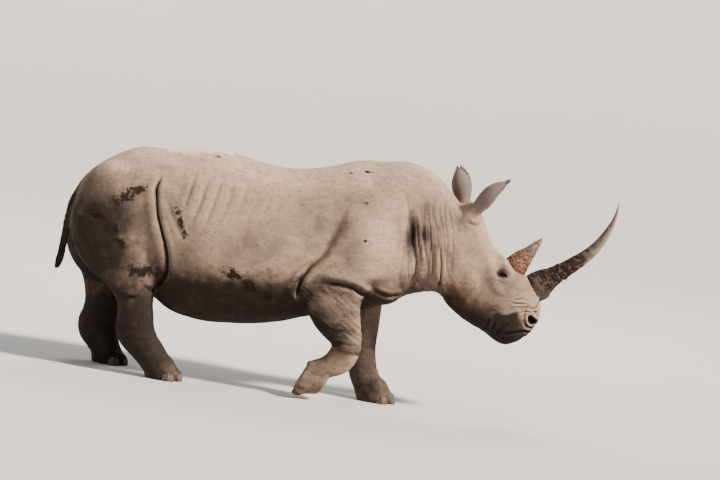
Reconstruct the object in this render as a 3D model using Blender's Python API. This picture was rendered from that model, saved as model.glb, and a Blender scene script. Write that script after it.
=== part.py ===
"""A white rhinoceros cow at life size, walking, one closed solid for each part of the body.

The frame: metres, +X forward, +Y to the left side, +Z up, floor at Z = 0. The body is first
modelled whole, as clay: lofts for the trunk, neck, head and limbs and ellipsoids for the muscles,
joined by a voxel remesh, smoothed and thinned to a few thousand triangles. Sockets are then cut
for the horns, ears, eyes, tail and nails, and thin walls part the clay into head, neck, trunk,
limbs and feet.
"""

import math

import bmesh
import bpy
import numpy as np
from mathutils import Matrix, Vector

# ---------------------------------------------------------------- driving dimensions (metres)
GAP = 0.0006  # space between two neighbouring solids
VOXEL = 0.009  # grain of the clay
RING = 40  # points round each section of a loft of clay
CLAY_TRIANGLES = 3100  # what the clay is thinned to
DECIMATE_BIAS = 0.0002  # how much more freely the body is thinned than the head

# ---------------------------------------------------------------- materials: colour and roughness
FINISHES = {
    "hide": ((0.42, 0.34, 0.28), 0.85),
    "horn": ((0.23, 0.17, 0.12), 0.6),
    "nail": ((0.30, 0.26, 0.22), 0.55),
    "eye": ((0.03, 0.018, 0.012), 0.1),
    "hair": ((0.05, 0.045, 0.04), 0.8),
}

# ---------------------------------------------------------------- the trunk and neck
# Sections across X: x, top, height of the widest place, bottom, half width, roof and keel fullness
# (2 is an ellipse, more is squarer).
TRUNK = [
    (-1.735, 1.14, 1.03, 0.93, 0.07, 2.0, 2.0),
    (-1.69, 1.255, 1.03, 0.84, 0.19, 2.0, 2.0),
    (-1.60, 1.375, 1.04, 0.76, 0.28, 2.0, 2.1),
    (-1.47, 1.475, 1.06, 0.68, 0.35, 1.9, 2.2),
    (-1.33, 1.546, 1.06, 0.63, 0.375, 1.9, 2.2),
    (-1.12, 1.553, 1.02, 0.545, 0.405, 2.0, 2.2),
    (-0.98, 1.58, 0.995, 0.46, 0.425, 2.0, 2.2),
    (-0.84, 1.609, 0.97, 0.425, 0.447, 2.0, 2.2),
    (-0.55, 1.567, 0.94, 0.424, 0.468, 2.1, 2.2),
    (-0.25, 1.543, 0.95, 0.475, 0.452, 2.1, 2.2),
    (0.00, 1.598, 0.99, 0.555, 0.41, 2.0, 2.2),
    (0.18, 1.663, 1.03, 0.615, 0.375, 1.9, 2.2),
    (0.36, 1.682, 1.07, 0.665, 0.345, 1.8, 2.1),
    (0.53, 1.704, 1.10, 0.725, 0.30, 1.8, 2.1),
    (0.64, 1.677, 1.14, 0.79, 0.262, 1.9, 2.1),
    (0.75, 1.620, 1.17, 0.825, 0.24, 2.0, 2.1),
    (0.86, 1.515, 1.17, 0.845, 0.22, 2.1, 2.1),
    (0.96, 1.41, 1.15, 0.89, 0.19, 2.1, 2.1),
]

# ---------------------------------------------------------------- the head, in its own frame
# +X runs from the nape to the lips and +Z towards the crown. The head is turned a little to the left.
HEAD_AT = Vector((0.95, 0.0, 1.30))
HEAD_PITCH = math.radians(47.5)
HEAD_YAW = math.radians(7)
HEAD = [
    (-0.12, 0.15, -0.05, -0.36, 0.16, 2.2, 2.1),
    (-0.05, 0.163, -0.05, -0.40, 0.178, 2.4, 2.1),
    (0.045, 0.147, -0.05, -0.40, 0.178, 2.5, 2.1),
    (0.15, 0.115, -0.05, -0.395, 0.17, 2.7, 2.1),
    (0.25, 0.104, -0.04, -0.39, 0.16, 2.9, 2.1),
    (0.35, 0.122, -0.03, -0.396, 0.152, 3.0, 2.1),
    (0.44, 0.138, -0.02, -0.382, 0.145, 2.8, 2.1),
    (0.53, 0.178, -0.01, -0.356, 0.132, 2.4, 2.2),
    (0.62, 0.192, -0.02, -0.316, 0.125, 2.2, 2.3),
    (0.70, 0.176, -0.04, -0.28, 0.128, 2.2, 2.5),
    (0.76, 0.138, -0.07, -0.266, 0.134, 2.3, 2.6),
    (0.80, 0.108, -0.08, -0.242, 0.132, 2.4, 2.7),
    (0.835, 0.062, -0.09, -0.205, 0.12, 2.6, 2.8),
    (0.862, -0.02, -0.10, -0.15, 0.085, 2.6, 2.6),
]

# ---------------------------------------------------------------- muscles and bosses
# Ellipsoids: centre on the left side, radii, then how far each leans nose-down in degrees.
FLESH = {
    "rump": ((-1.40, 0.13, 1.18), (0.29, 0.22, 0.26), 20),
    "shoulder": ((0.19, 0.19, 1.08), (0.27, 0.205, 0.37), -12),
    "upper_arm": ((0.13, 0.235, 0.86), (0.24, 0.165, 0.21), 10),
    "breast": ((0.42, 0.10, 0.87), (0.20, 0.17, 0.17), 20),
}
THIGHS = {
    "thigh_right": ((-1.375, -0.205, 0.975), (0.335, 0.205, 0.385), -25),
    "thigh_left": ((-1.455, 0.205, 0.935), (0.33, 0.205, 0.385), -4),
}
HEAD_FLESH = {
    "cheek": ((0.20, 0.08, -0.18), (0.22, 0.095, 0.19), 0),
    "brow": ((0.375, 0.11, 0.078), (0.10, 0.047, 0.045), 8),
    "cheekbone": ((0.34, 0.122, -0.025), (0.20, 0.047, 0.055), 12),
    "nostril_wing": ((0.775, 0.085, 0.03), (0.055, 0.052, 0.062), 0),
    "ear_root": ((-0.05, 0.105, 0.105), (0.09, 0.065, 0.065), 30),
    "lip": ((0.775, 0.055, -0.01), (0.07, 0.085, 0.07), 20),
    "chin": ((0.775, 0.045, -0.175), (0.075, 0.075, 0.075), -20),
}
HEAD_BOSSES = {
    "nasal_boss": ((0.61, 0.0, 0.10), (0.11, 0.105, 0.09), 0),
    "frontal_boss": ((0.42, 0.0, 0.07), (0.10, 0.10, 0.07), 0),
}

# ---------------------------------------------------------------- the limbs
# Stations from the trunk down: x, y, z of the limb's axis, then its reach fore and aft and sideways.
LIMBS = {
    "hind_right": [
        (-1.37, -0.20, 1.05, 0.26, 0.14),
        (-1.31, -0.25, 0.85, 0.24, 0.155),
        (-1.26, -0.265, 0.70, 0.20, 0.145),
        (-1.225, -0.265, 0.60, 0.155, 0.125),
        (-1.205, -0.26, 0.51, 0.124, 0.11),
        (-1.192, -0.25, 0.41, 0.127, 0.10),
        (-1.178, -0.24, 0.31, 0.135, 0.098),
        (-1.11, -0.235, 0.215, 0.112, 0.094),
        (-1.03, -0.23, 0.135, 0.102, 0.094),
        (-0.985, -0.225, 0.07, 0.10, 0.098),
    ],
    "hind_left": [
        (-1.40, 0.20, 1.05, 0.26, 0.14),
        (-1.455, 0.25, 0.82, 0.25, 0.155),
        (-1.475, 0.26, 0.67, 0.185, 0.14),
        (-1.468, 0.255, 0.56, 0.142, 0.118),
        (-1.455, 0.25, 0.45, 0.128, 0.105),
        (-1.458, 0.245, 0.35, 0.13, 0.10),
        (-1.472, 0.24, 0.255, 0.14, 0.098),
        (-1.435, 0.235, 0.175, 0.118, 0.094),
        (-1.395, 0.23, 0.11, 0.102, 0.096),
        (-1.385, 0.225, 0.06, 0.10, 0.098),
    ],
    "fore_right": [
        (0.22, -0.20, 1.05, 0.20, 0.12),
        (0.145, -0.24, 0.82, 0.205, 0.13),
        (0.135, -0.26, 0.70, 0.198, 0.13),
        (0.165, -0.265, 0.62, 0.177, 0.12),
        (0.215, -0.26, 0.53, 0.143, 0.108),
        (0.262, -0.25, 0.44, 0.106, 0.095),
        (0.265, -0.245, 0.365, 0.10, 0.09),
        (0.225, -0.24, 0.292, 0.098, 0.088),
        (0.155, -0.235, 0.242, 0.074, 0.085),
        (0.09, -0.23, 0.212, 0.072, 0.088),
        (0.045, -0.23, 0.188, 0.08, 0.092),
    ],
    "fore_left": [
        (0.27, 0.20, 1.02, 0.20, 0.12),
        (0.29, 0.23, 0.82, 0.205, 0.13),
        (0.305, 0.245, 0.68, 0.182, 0.125),
        (0.333, 0.235, 0.56, 0.153, 0.11),
        (0.36, 0.215, 0.45, 0.122, 0.098),
        (0.37, 0.20, 0.36, 0.106, 0.09),
        (0.388, 0.185, 0.27, 0.10, 0.088),
        (0.413, 0.175, 0.19, 0.10, 0.088),
        (0.45, 0.165, 0.12, 0.10, 0.092),
        (0.48, 0.16, 0.06, 0.10, 0.10),
    ],
}
# Feet: middle of the sole, how far the toes point down in degrees, then length and width halved.
FEET = {
    "hind_right": ((-0.955, -0.225, 0.0), 0, 0.122, 0.104),
    "hind_left": ((-1.365, 0.225, 0.0), 0, 0.122, 0.104),
    "fore_right": ((-0.005, -0.23, 0.158), 116, 0.118, 0.108),
    "fore_left": ((0.515, 0.16, 0.0), 0, 0.128, 0.112),
}
FOOT_HEIGHT = 0.16
SOLE_DEPTH = 0.008  # clay below the floor, which is cut away flat
TOES = {"inner": -58, "middle": 0, "outer": 58}  # where each toe points, in degrees from straight ahead
TOE_HEIGHT = 0.038
TOE_RADII = (0.055, 0.048, 0.044)
NAIL_LEVELS = ((0.003, 1.10), (0.030, 1.08), (0.056, 0.84))  # height, size against the toe
NAIL_SPAN = math.radians(62)  # half the arc of the toe that a nail covers
NAIL_THICKNESS = 0.22  # against the toe's radius

# ---------------------------------------------------------------- horns, ears, eyes and tail
# Horns, before the head is turned: x, z of the axis, reach fore and aft, reach sideways.
HORN_FRONT = [
    (1.500, 0.938, 0.100, 0.080),
    (1.535, 0.972, 0.106, 0.083),
    (1.572, 1.005, 0.090, 0.072),
    (1.628, 1.048, 0.068, 0.060),
    (1.687, 1.094, 0.061, 0.054),
    (1.745, 1.139, 0.053, 0.048),
    (1.808, 1.192, 0.045, 0.042),
    (1.870, 1.254, 0.039, 0.037),
    (1.926, 1.332, 0.033, 0.032),
    (1.969, 1.418, 0.024, 0.024),
    (1.997, 1.494, 0.015, 0.016),
    (2.009, 1.560, 0.009, 0.010),
    (2.014, 1.627, 0.002, 0.002),
]
HORN_REAR = [
    (1.325, 1.035, 0.082, 0.070),
    (1.355, 1.085, 0.085, 0.072),
    (1.392, 1.135, 0.070, 0.058),
    (1.432, 1.185, 0.048, 0.042),
    (1.470, 1.237, 0.030, 0.028),
    (1.499, 1.278, 0.016, 0.015),
    (1.513, 1.302, 0.003, 0.003),
]
# Ears: middle of the base, the way the ear points, the way its mouth faces, its length and breadth.
EARS = {
    "ear_right": ((0.995, -0.135, 1.42), (0.64, -0.12, 0.76), (0.76, 0.25, -0.62), 0.325, 1.12),
    "ear_left": ((0.945, 0.150, 1.44), (-0.24, 0.36, 0.90), (0.42, 0.85, 0.25), 0.28, 1.15),
}
# An ear's sections: how far along it, radius, and half the angle that stays open.
EAR = [
    (0.00, 0.034, 25),
    (0.14, 0.040, 35),
    (0.30, 0.052, 55),
    (0.45, 0.062, 72),
    (0.60, 0.062, 82),
    (0.73, 0.052, 88),
    (0.85, 0.036, 92),
    (0.94, 0.019, 95),
    (1.00, 0.006, 95),
]
EAR_THICKNESS = 0.009
EAR_ARC = 7  # points across an ear, on each face
EYE_AT = (0.405, 0.133, 0.035)  # in the head's frame, on the left side
EYE_RADIUS = 0.026
# Tail: x, y, z of the axis and radius; the tuft takes over where it ends.
TAIL = [
    (-1.52, 0.0, 1.33, 0.036),
    (-1.585, 0.0, 1.328, 0.044),
    (-1.642, 0.0, 1.27, 0.041),
    (-1.697, 0.0, 1.185, 0.034),
    (-1.735, 0.0, 1.10, 0.028),
    (-1.750, 0.003, 1.02, 0.024),
    (-1.757, 0.006, 0.90, 0.020),
    (-1.762, 0.008, 0.80, 0.018),
]
TUFT = [
    (-1.762, 0.008, 0.7994, 0.016),
    (-1.765, 0.009, 0.76, 0.022),
    (-1.772, 0.010, 0.71, 0.022),
    (-1.782, 0.011, 0.66, 0.015),
    (-1.790, 0.012, 0.625, 0.003),
]

# ---------------------------------------------------------------- where the body is parted
# Flat walls: a point on the wall, the way it faces, and its size.
WALLS = {
    "nape": ((0.865, 0.0, 1.20), (1.0, 0.0, -0.05), 1.2),
    "withers": ((0.56, 0.0, 1.20), (1.0, 0.0, -0.10), 1.16),
    "fetlock_right": ((-1.045, -0.23, 0.155), (-0.6, 0.0, 1.0), 0.34),
    "fetlock_left": ((-1.41, 0.233, 0.14), (-0.25, 0.0, 1.0), 0.34),
    "pastern_right": ((0.10, -0.232, 0.216), (1.0, 0.0, 0.45), 0.28),
    "pastern_left": ((0.435, 0.168, 0.145), (-0.45, 0.0, 1.0), 0.34),
}
# Limb roots, seen from the side: the corners (x, z) of the flesh that belongs to the limb. The hind
# one follows the flank fold and ends at the stifle, the fore one ends at the wrist.
HIND_ROOT = [
    (-1.03, 0.53),
    (-1.00, 0.75),
    (-1.04, 0.90),
    (-1.115, 1.09),
    (-1.155, 1.22),
    (-1.15, 1.33),
    (-1.38, 1.41),
    (-1.62, 1.31),
    (-1.90, 1.10),
    (-1.90, 0.53),
]
FORE_ROOT = [
    (0.50, 0.385),
    (0.497, 0.68),
    (0.43, 0.77),
    (0.31, 0.825),
    (0.16, 0.845),
    (0.03, 0.825),
    (-0.09, 0.77),
    (-0.15, 0.66),
    (-0.15, 0.385),
]
ROOT_INSIDE = 0.10  # how far from the body's middle plane a limb's flesh begins
ROOT_OUTSIDE = 0.70
# The middle of each part, which tells the parts from one another once they are cut loose.
LABELS = {
    "head": (1.20, 0.03, 1.00),
    "neck": (0.70, 0.0, 1.20),
    "trunk": (-0.50, 0.0, 1.00),
    "thigh_right": (-1.35, -0.27, 0.90),
    "thigh_left": (-1.45, 0.27, 0.90),
    "shank_right": (-1.19, -0.25, 0.38),
    "shank_left": (-1.46, 0.245, 0.36),
    "foot_hind_right": (-0.97, -0.225, 0.07),
    "foot_hind_left": (-1.38, 0.225, 0.06),
    "arm_right": (0.18, -0.26, 0.62),
    "arm_left": (0.32, 0.24, 0.62),
    "cannon_right": (0.21, -0.24, 0.28),
    "cannon_left": (0.39, 0.19, 0.26),
    "foot_fore_right": (0.03, -0.23, 0.18),
    "foot_fore_left": (0.49, 0.16, 0.07),
}


# ================================================================ small tools
def clear_scene():
    for found in list(bpy.data.objects):
        bpy.data.objects.remove(found)


def spline(knots, values, at):
    """A smooth curve through the values, with each tangent taken from its two neighbours."""
    knots = np.asarray(knots, float)
    values = np.asarray(values, float)
    at = np.asarray(at, float)
    steps = np.diff(knots)[:, None]
    slopes = np.diff(values, axis=0) / steps
    tangents = np.empty_like(values)
    tangents[0] = slopes[0]
    tangents[-1] = slopes[-1]
    tangents[1:-1] = (slopes[:-1] * steps[1:] + slopes[1:] * steps[:-1]) / (steps[:-1] + steps[1:])
    left = np.clip(np.searchsorted(knots, at, side="right") - 1, 0, len(knots) - 2)
    width = (knots[left + 1] - knots[left])[:, None]
    t = (at - knots[left])[:, None] / width
    rise = t * t * (3 - 2 * t)
    lean_in = t * (1 - t) ** 2 * width * tangents[left]
    lean_out = t * t * (1 - t) * width * tangents[left + 1]
    return values[left] * (1 - rise) + values[left + 1] * rise + lean_in - lean_out


def made(name, bm):
    """A new object from a bmesh, in triangles that point out."""
    bmesh.ops.recalc_face_normals(bm, faces=bm.faces)
    bmesh.ops.triangulate(bm, faces=bm.faces)
    mesh = bpy.data.meshes.new(name)
    bm.to_mesh(mesh)
    bm.free()
    result = bpy.data.objects.new(name, mesh)
    bpy.context.scene.collection.objects.link(result)
    return result


def loft(name, rings, band=False):
    """A closed tube through rings of points, all with the same count.

    Each end is a fan round its middle. A band's ring runs out along one edge and back along the
    other, and its end is a strip between the two.
    """
    bm = bmesh.new()
    loops = [[bm.verts.new(point) for point in ring] for ring in rings]
    count = len(loops[0])
    for one, two in zip(loops, loops[1:]):
        for i in range(count):
            j = (i + 1) % count
            bm.faces.new((one[i], one[j], two[j], two[i]))
    for loop in (loops[0], loops[-1]):
        if band:
            for i in range(count // 2 - 1):
                bm.faces.new((loop[i], loop[i + 1], loop[count - 2 - i], loop[count - 1 - i]))
        else:
            middle = bm.verts.new(sum((v.co for v in loop), Vector()) / count)
            for i in range(count):
                bm.faces.new((middle, loop[(i + 1) % count], loop[i]))
    return made(name, bm)


def section(half_width, up, down, roof, keel):
    """Points round an oval section, as sideways and upward offsets from its widest place."""
    angles = np.linspace(0, 2 * math.pi, RING, endpoint=False)
    side, height = np.cos(angles), np.sin(angles)
    power = np.where(height >= 0, roof, keel)
    reach = np.where(height >= 0, up, down)
    across = half_width * np.sign(side) * np.abs(side) ** (2 / power)
    upward = reach * np.sign(height) * np.abs(height) ** (2 / power)
    return across, upward


def body_loft(name, stations, count):
    """A loft across X through rows of x, top, widest, bottom, half width, roof and keel."""
    rows = np.array(stations)
    places = np.linspace(rows[0, 0], rows[-1, 0], count)
    rings = []
    for x, (top, wide, bottom, half, roof, keel) in zip(places, spline(rows[:, 0], rows[:, 1:], places)):
        across, upward = section(half, top - wide, wide - bottom, roof, keel)
        rings.append([(x, y, wide + z) for y, z in zip(across, upward)])
    return loft(name, rings)


def tube(name, stations, rings, sides):
    """A loft down rows of x, y, z, reach fore and aft, reach sideways. Rings stand square to it."""
    rows = np.array(stations, float)
    steps = np.linalg.norm(np.diff(rows[:, :3], axis=0), axis=1)
    knots = np.concatenate(([0], np.cumsum(steps)))
    along = np.linspace(0, knots[-1], rings)
    nudge = knots[-1] / (4 * rings)
    spots = spline(knots, rows, along)
    ways = spline(knots, rows, along + nudge)[:, :3] - spline(knots, rows, along - nudge)[:, :3]
    loops = []
    for (x, y, z, fore, side), way in zip(spots, ways):
        down = Vector(way).normalized()
        forward = down.cross(Vector((0, 1, 0))).normalized()
        across = forward.cross(down).normalized()
        loop = []
        for angle in np.linspace(0, 2 * math.pi, sides, endpoint=False):
            swing = forward * fore * math.cos(angle) + across * side * math.sin(angle)
            loop.append(Vector((x, y, z)) + swing)
        loops.append(loop)
    return loft(name, loops)


def blob(name, centre, radii, lean, place=Matrix.Identity(4)):
    """An ellipsoid, leaning nose-down by so many degrees."""
    bm = bmesh.new()
    bmesh.ops.create_icosphere(bm, subdivisions=4, radius=1.0)
    turn = Matrix.Rotation(math.radians(lean), 4, "Y")
    bmesh.ops.transform(
        bm, matrix=place @ Matrix.Translation(centre) @ turn @ Matrix.Diagonal((*radii, 1)), verts=bm.verts
    )
    return made(name, bm)


def both_sides(name, centre, radii, lean, place=Matrix.Identity(4)):
    x, y, z = centre
    return [blob(name, (x, side * y, z), radii, lean, place) for side in (-1, 1)]


def joined(name, pieces):
    """One object that holds the meshes of several, which are removed."""
    bpy.context.view_layer.update()
    bm = bmesh.new()
    for piece in pieces:
        piece.data.transform(piece.matrix_world)
        bm.from_mesh(piece.data)
        bpy.data.objects.remove(piece)
    return made(name, bm)


def applied(piece):
    """The object with its modifiers worked into its mesh."""
    graph = bpy.context.evaluated_depsgraph_get()
    mesh = bpy.data.meshes.new_from_object(piece.evaluated_get(graph))
    piece.modifiers.clear()
    piece.data = mesh
    return piece


def cut(piece, cutter):
    """Takes the cutter away from the piece, and the cutter out of the scene."""
    boolean = piece.modifiers.new("cut", "BOOLEAN")
    boolean.operation = "DIFFERENCE"
    boolean.object = cutter
    applied(piece)
    bpy.data.objects.remove(cutter)


def grown(piece, by):
    """A copy of the piece whose every face lies further out."""
    bm = bmesh.new()
    bm.from_mesh(piece.data)
    bm.normal_update()
    moves = [(vert, vert.normal * by * vert.calc_shell_factor()) for vert in bm.verts]
    for vert, move in moves:
        vert.co += move
    return made(piece.name + "_socket", bm)


def finish(piece, kind):
    colour, roughness = FINISHES[kind]
    material = bpy.data.materials.new(piece.name)
    material.use_nodes = True
    shader = material.node_tree.nodes["Principled BSDF"]
    shader.inputs["Base Color"].default_value = (*colour, 1)
    shader.inputs["Roughness"].default_value = roughness
    piece.data.materials.clear()
    piece.data.materials.append(material)


def head_place():
    turn = Matrix.Rotation(HEAD_YAW, 4, "Z") @ Matrix.Rotation(HEAD_PITCH, 4, "Y")
    return Matrix.Translation(HEAD_AT) @ turn


def turned_with_head(piece):
    """Swings a piece modelled in the body's middle plane to the side that the head faces."""
    turn = Matrix.Translation(HEAD_AT) @ Matrix.Rotation(HEAD_YAW, 4, "Z") @ Matrix.Translation(-HEAD_AT)
    piece.data.transform(turn)
    return piece


def foot_place(name):
    """Where a foot's own frame stands: +X towards the toes, +Z up the leg, its sole at Z = 0."""
    centre, pitch, _, _ = FEET[name]
    return Matrix.Translation(centre) @ Matrix.Rotation(math.radians(pitch), 4, "Y")


# ================================================================ the clay
def foot(name):
    """A short three-toed column whose sole goes a little below the floor."""
    _, _, long, wide = FEET[name]
    rings = []
    for height, size, shift in (
        (-SOLE_DEPTH, 0.92, 0.0),
        (0.012, 0.97, 0.0),
        (0.035, 1.0, 0.0),
        (0.065, 0.96, -0.005),
        (0.10, 0.86, -0.018),
        (FOOT_HEIGHT, 0.78, -0.045),
    ):
        angles = np.linspace(0, 2 * math.pi, RING, endpoint=False)
        rings.append([(shift + size * long * math.cos(a), size * wide * math.sin(a), height) for a in angles])
    toes = []
    for toe in TOES:
        turn, reach = toe_place(name, toe)
        toes.append(blob(name, (reach, 0, TOE_HEIGHT), TOE_RADII, 0, turn))
    whole = joined(name, [loft(name, rings)] + toes)
    whole.data.transform(foot_place(name))
    return whole


def toe_place(name, toe):
    """The way a toe points, and how far its middle lies from the foot's."""
    _, _, long, wide = FEET[name]
    reach = (long if toe == "middle" else wide) - 0.040
    return Matrix.Rotation(math.radians(TOES[toe]), 4, "Z"), reach


def soften(body):
    """Smooths the clay, strongly on the trunk and lightly on the head and feet."""
    group = body.vertex_groups.new(name="bulk")
    for vert in body.data.vertices:
        behind_face = max((1.22 - vert.co.x) / 0.30, 0.30)
        above_knees = max((vert.co.z - 0.35) / 0.35, 0.12)
        group.add([vert.index], min(behind_face, above_knees, 1.0), "REPLACE")
    smooth = body.modifiers.new("soften", "SMOOTH")
    smooth.factor = 0.5
    smooth.iterations = 70
    smooth.vertex_group = "bulk"
    return applied(body)


def thinned(body):
    """Brings the clay down to few triangles, and keeps more of them on the head."""
    group = body.vertex_groups.new(name="coarse")
    for vert in body.data.vertices:
        group.add([vert.index], 1.0 if vert.co.x < 0.90 else 0.5, "REPLACE")
    thin = body.modifiers.new("thin", "DECIMATE")
    thin.vertex_group = "coarse"
    thin.vertex_group_factor = DECIMATE_BIAS
    thin.ratio = CLAY_TRIANGLES / (2 * len(body.data.polygons))
    return applied(body)


def flatten_soles(body):
    """Cuts off what lies below the floor and closes the soles with flat faces."""
    bm = bmesh.new()
    bm.from_mesh(body.data)
    everything = bm.verts[:] + bm.edges[:] + bm.faces[:]
    bmesh.ops.bisect_plane(bm, geom=everything, plane_co=(0, 0, 0), plane_no=(0, 0, 1), clear_inner=True)
    rim = [edge for edge in bm.edges if edge.is_boundary]
    bmesh.ops.holes_fill(bm, edges=rim, sides=0)
    bm.to_mesh(body.data)
    bm.free()


def clay():
    place = head_place()
    head = body_loft("head", HEAD, 60)
    head.data.transform(place)
    pieces = [body_loft("trunk", TRUNK, 90), head]
    for name, (centre, radii, lean) in FLESH.items():
        pieces += both_sides(name, centre, radii, lean)
    for name, (centre, radii, lean) in THIGHS.items():
        pieces.append(blob(name, centre, radii, lean))
    for name, (centre, radii, lean) in HEAD_FLESH.items():
        pieces += both_sides(name, centre, radii, lean, place)
    for name, (centre, radii, lean) in HEAD_BOSSES.items():
        pieces.append(blob(name, centre, radii, lean, place))
    for name, stations in LIMBS.items():
        pieces += [tube(name, stations, 40, RING), foot(name)]
    body = joined("body", pieces)
    remesh = body.modifiers.new("clay", "REMESH")
    remesh.mode = "VOXEL"
    remesh.voxel_size = VOXEL
    body = thinned(soften(applied(body)))
    flatten_soles(body)
    return body


# ================================================================ horns, ears, eyes, tail and nails
def round_tube(name, stations, rings):
    return tube(name, [(x, y, z, radius, radius) for x, y, z, radius in stations], rings, 8)


def horn(name, stations, rings, sides):
    rows = [(x, 0, z, fore, side) for x, z, fore, side in stations]
    return turned_with_head(tube(name, rows, rings, sides))


def ear(name):
    """A cupped leaf: each section is an arc of even thickness, open on the side of the mouth."""
    base, along, facing, length, breadth = EARS[name]
    axis = Vector(along).normalized()
    mouth = Vector(facing)
    mouth = (mouth - axis * mouth.dot(axis)).normalized()
    across = axis.cross(mouth)
    rings = []
    for t, radius, opening in EAR:
        centre = Vector(base) + axis * t * length
        outer = radius * breadth
        inner = max(outer - EAR_THICKNESS, outer * 0.4)
        edge = math.radians(180 - opening)
        arc = np.linspace(-edge, edge, EAR_ARC)
        spots = [(outer, a) for a in arc] + [(inner, a) for a in arc[::-1]]
        rings.append([centre + (across * math.sin(a) - mouth * math.cos(a)) * r for r, a in spots])
    return loft(name, rings, band=True)


def eye(name, side):
    x, y, z = EYE_AT
    bm = bmesh.new()
    bmesh.ops.create_icosphere(bm, subdivisions=2, radius=EYE_RADIUS)
    bmesh.ops.translate(bm, vec=head_place() @ Vector((x, side * y, z)), verts=bm.verts)
    return made(name, bm)


def nail(limb, toe):
    """A thick curved plate over the front of a toe."""
    turn, reach = toe_place(limb, toe)
    long, wide, _ = TOE_RADII
    rings = []
    for height, size in NAIL_LEVELS:
        arc = np.linspace(-NAIL_SPAN, NAIL_SPAN, 4)
        spots = [(size, a) for a in arc] + [(size - NAIL_THICKNESS, a) for a in arc[::-1]]
        rings.append([(reach + long * s * math.cos(a), wide * s * math.sin(a), height) for s, a in spots])
    plate = loft(f"nail_{limb}_{toe}", rings, band=True)
    plate.data.transform(foot_place(limb) @ turn)
    return plate


# ================================================================ parting
def wall(name, point, facing, size):
    """A thin square plate."""
    bm = bmesh.new()
    bmesh.ops.create_cube(bm, size=1.0)
    turn = Vector(facing).to_track_quat("Z", "Y").to_matrix().to_4x4()
    place = Matrix.Translation(point) @ turn @ Matrix.Diagonal((size, size, GAP, 1))
    bmesh.ops.transform(bm, matrix=place, verts=bm.verts)
    return made(name, bm)


def root_shell(name, corners, side):
    """The thin shell of a block that holds a limb's flesh, seen from the side as the corners say."""
    bm = bmesh.new()
    inner = [bm.verts.new((x, side * ROOT_INSIDE, z)) for x, z in corners]
    outer = [bm.verts.new((x, side * ROOT_OUTSIDE, z)) for x, z in corners]
    bm.faces.new(inner)
    bm.faces.new(outer)
    for i in range(len(corners)):
        j = (i + 1) % len(corners)
        bm.faces.new((inner[i], inner[j], outer[j], outer[i]))
    shell = made(name, bm)
    thickness = shell.modifiers.new("thickness", "SOLIDIFY")
    thickness.thickness = GAP
    thickness.offset = 0
    thickness.use_even_offset = True
    return applied(shell)


def islands(body):
    """The separate closed bodies of a mesh, each as an object of its own."""
    bm = bmesh.new()
    bm.from_mesh(body.data)
    bm.verts.ensure_lookup_table()
    unseen = set(bm.verts)
    found = []
    while unseen:
        front = [unseen.pop()]
        group = set(front)
        while front:
            for edge in front.pop().link_edges:
                for vert in edge.verts:
                    if vert in unseen:
                        unseen.discard(vert)
                        group.add(vert)
                        front.append(vert)
        part = bmesh.new()
        copies = {vert: part.verts.new(vert.co) for vert in group}
        faces = {face for vert in group for face in vert.link_faces}
        for face in sorted(faces, key=lambda f: f.index):
            part.faces.new([copies[vert] for vert in face.verts])
        found.append(made("part", part))
    bm.free()
    bpy.data.objects.remove(body)
    return found


def part_body(body):
    for name, (point, facing, size) in WALLS.items():
        cut(body, wall(name, point, facing, size))
    for name, corners in (("hind", HIND_ROOT), ("fore", FORE_ROOT)):
        for side in (-1, 1):
            cut(body, root_shell(name, corners, side))
    for piece in islands(body):
        middle = sum((vert.co for vert in piece.data.vertices), Vector()) / len(piece.data.vertices)
        piece.name = min(LABELS, key=lambda name: (Vector(LABELS[name]) - middle).length)
        finish(piece, "hide")


def stand_on_origin():
    """Moves everything so that the middle of the whole model's footprint is the origin."""
    pieces = list(bpy.data.objects)
    spots = np.array([vert.co for piece in pieces for vert in piece.data.vertices])
    middle = (spots.min(axis=0) + spots.max(axis=0)) / 2
    for piece in pieces:
        piece.data.transform(Matrix.Translation((-middle[0], -middle[1], 0.0)))


def main():
    clear_scene()
    body = clay()
    fittings = [
        (horn("horn_front", HORN_FRONT, 14, 11), "horn"),
        (horn("horn_rear", HORN_REAR, 7, 10), "horn"),
        (round_tube("tail", TAIL, 14), "hide"),
        (eye("eye_right", -1), "eye"),
        (eye("eye_left", 1), "eye"),
    ]
    fittings += [(ear(name), "hide") for name in EARS]
    fittings += [(nail(limb, toe), "nail") for limb in LIMBS for toe in TOES]
    for piece, kind in fittings:
        finish(piece, kind)
        cut(body, grown(piece, GAP))
    finish(round_tube("tail_tuft", TUFT, 6), "hair")
    part_body(body)
    stand_on_origin()


main()
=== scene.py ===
"""A life-size white rhinoceros cow, walking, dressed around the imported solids.

One skin covers all the flesh. It starts as the solids themselves, joined by a voxel remesh: fine on
the head, ears and neck, coarser on the rest. It is smoothed, and then folds, ribs, wrinkles, lids,
nostrils and lips are pressed into it by formula. Horns, eyes, nails and hair are pieces of their own.

"Body frame" below is the row's frame moved so that landmarks keep the numbers they have in the
solids' source: +X forward, +Y to the animal's left, +Z up, floor at Z = 0.
"""

import math

import bmesh
import bpy
import numpy as np
from mathutils import Matrix, Vector


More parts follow.
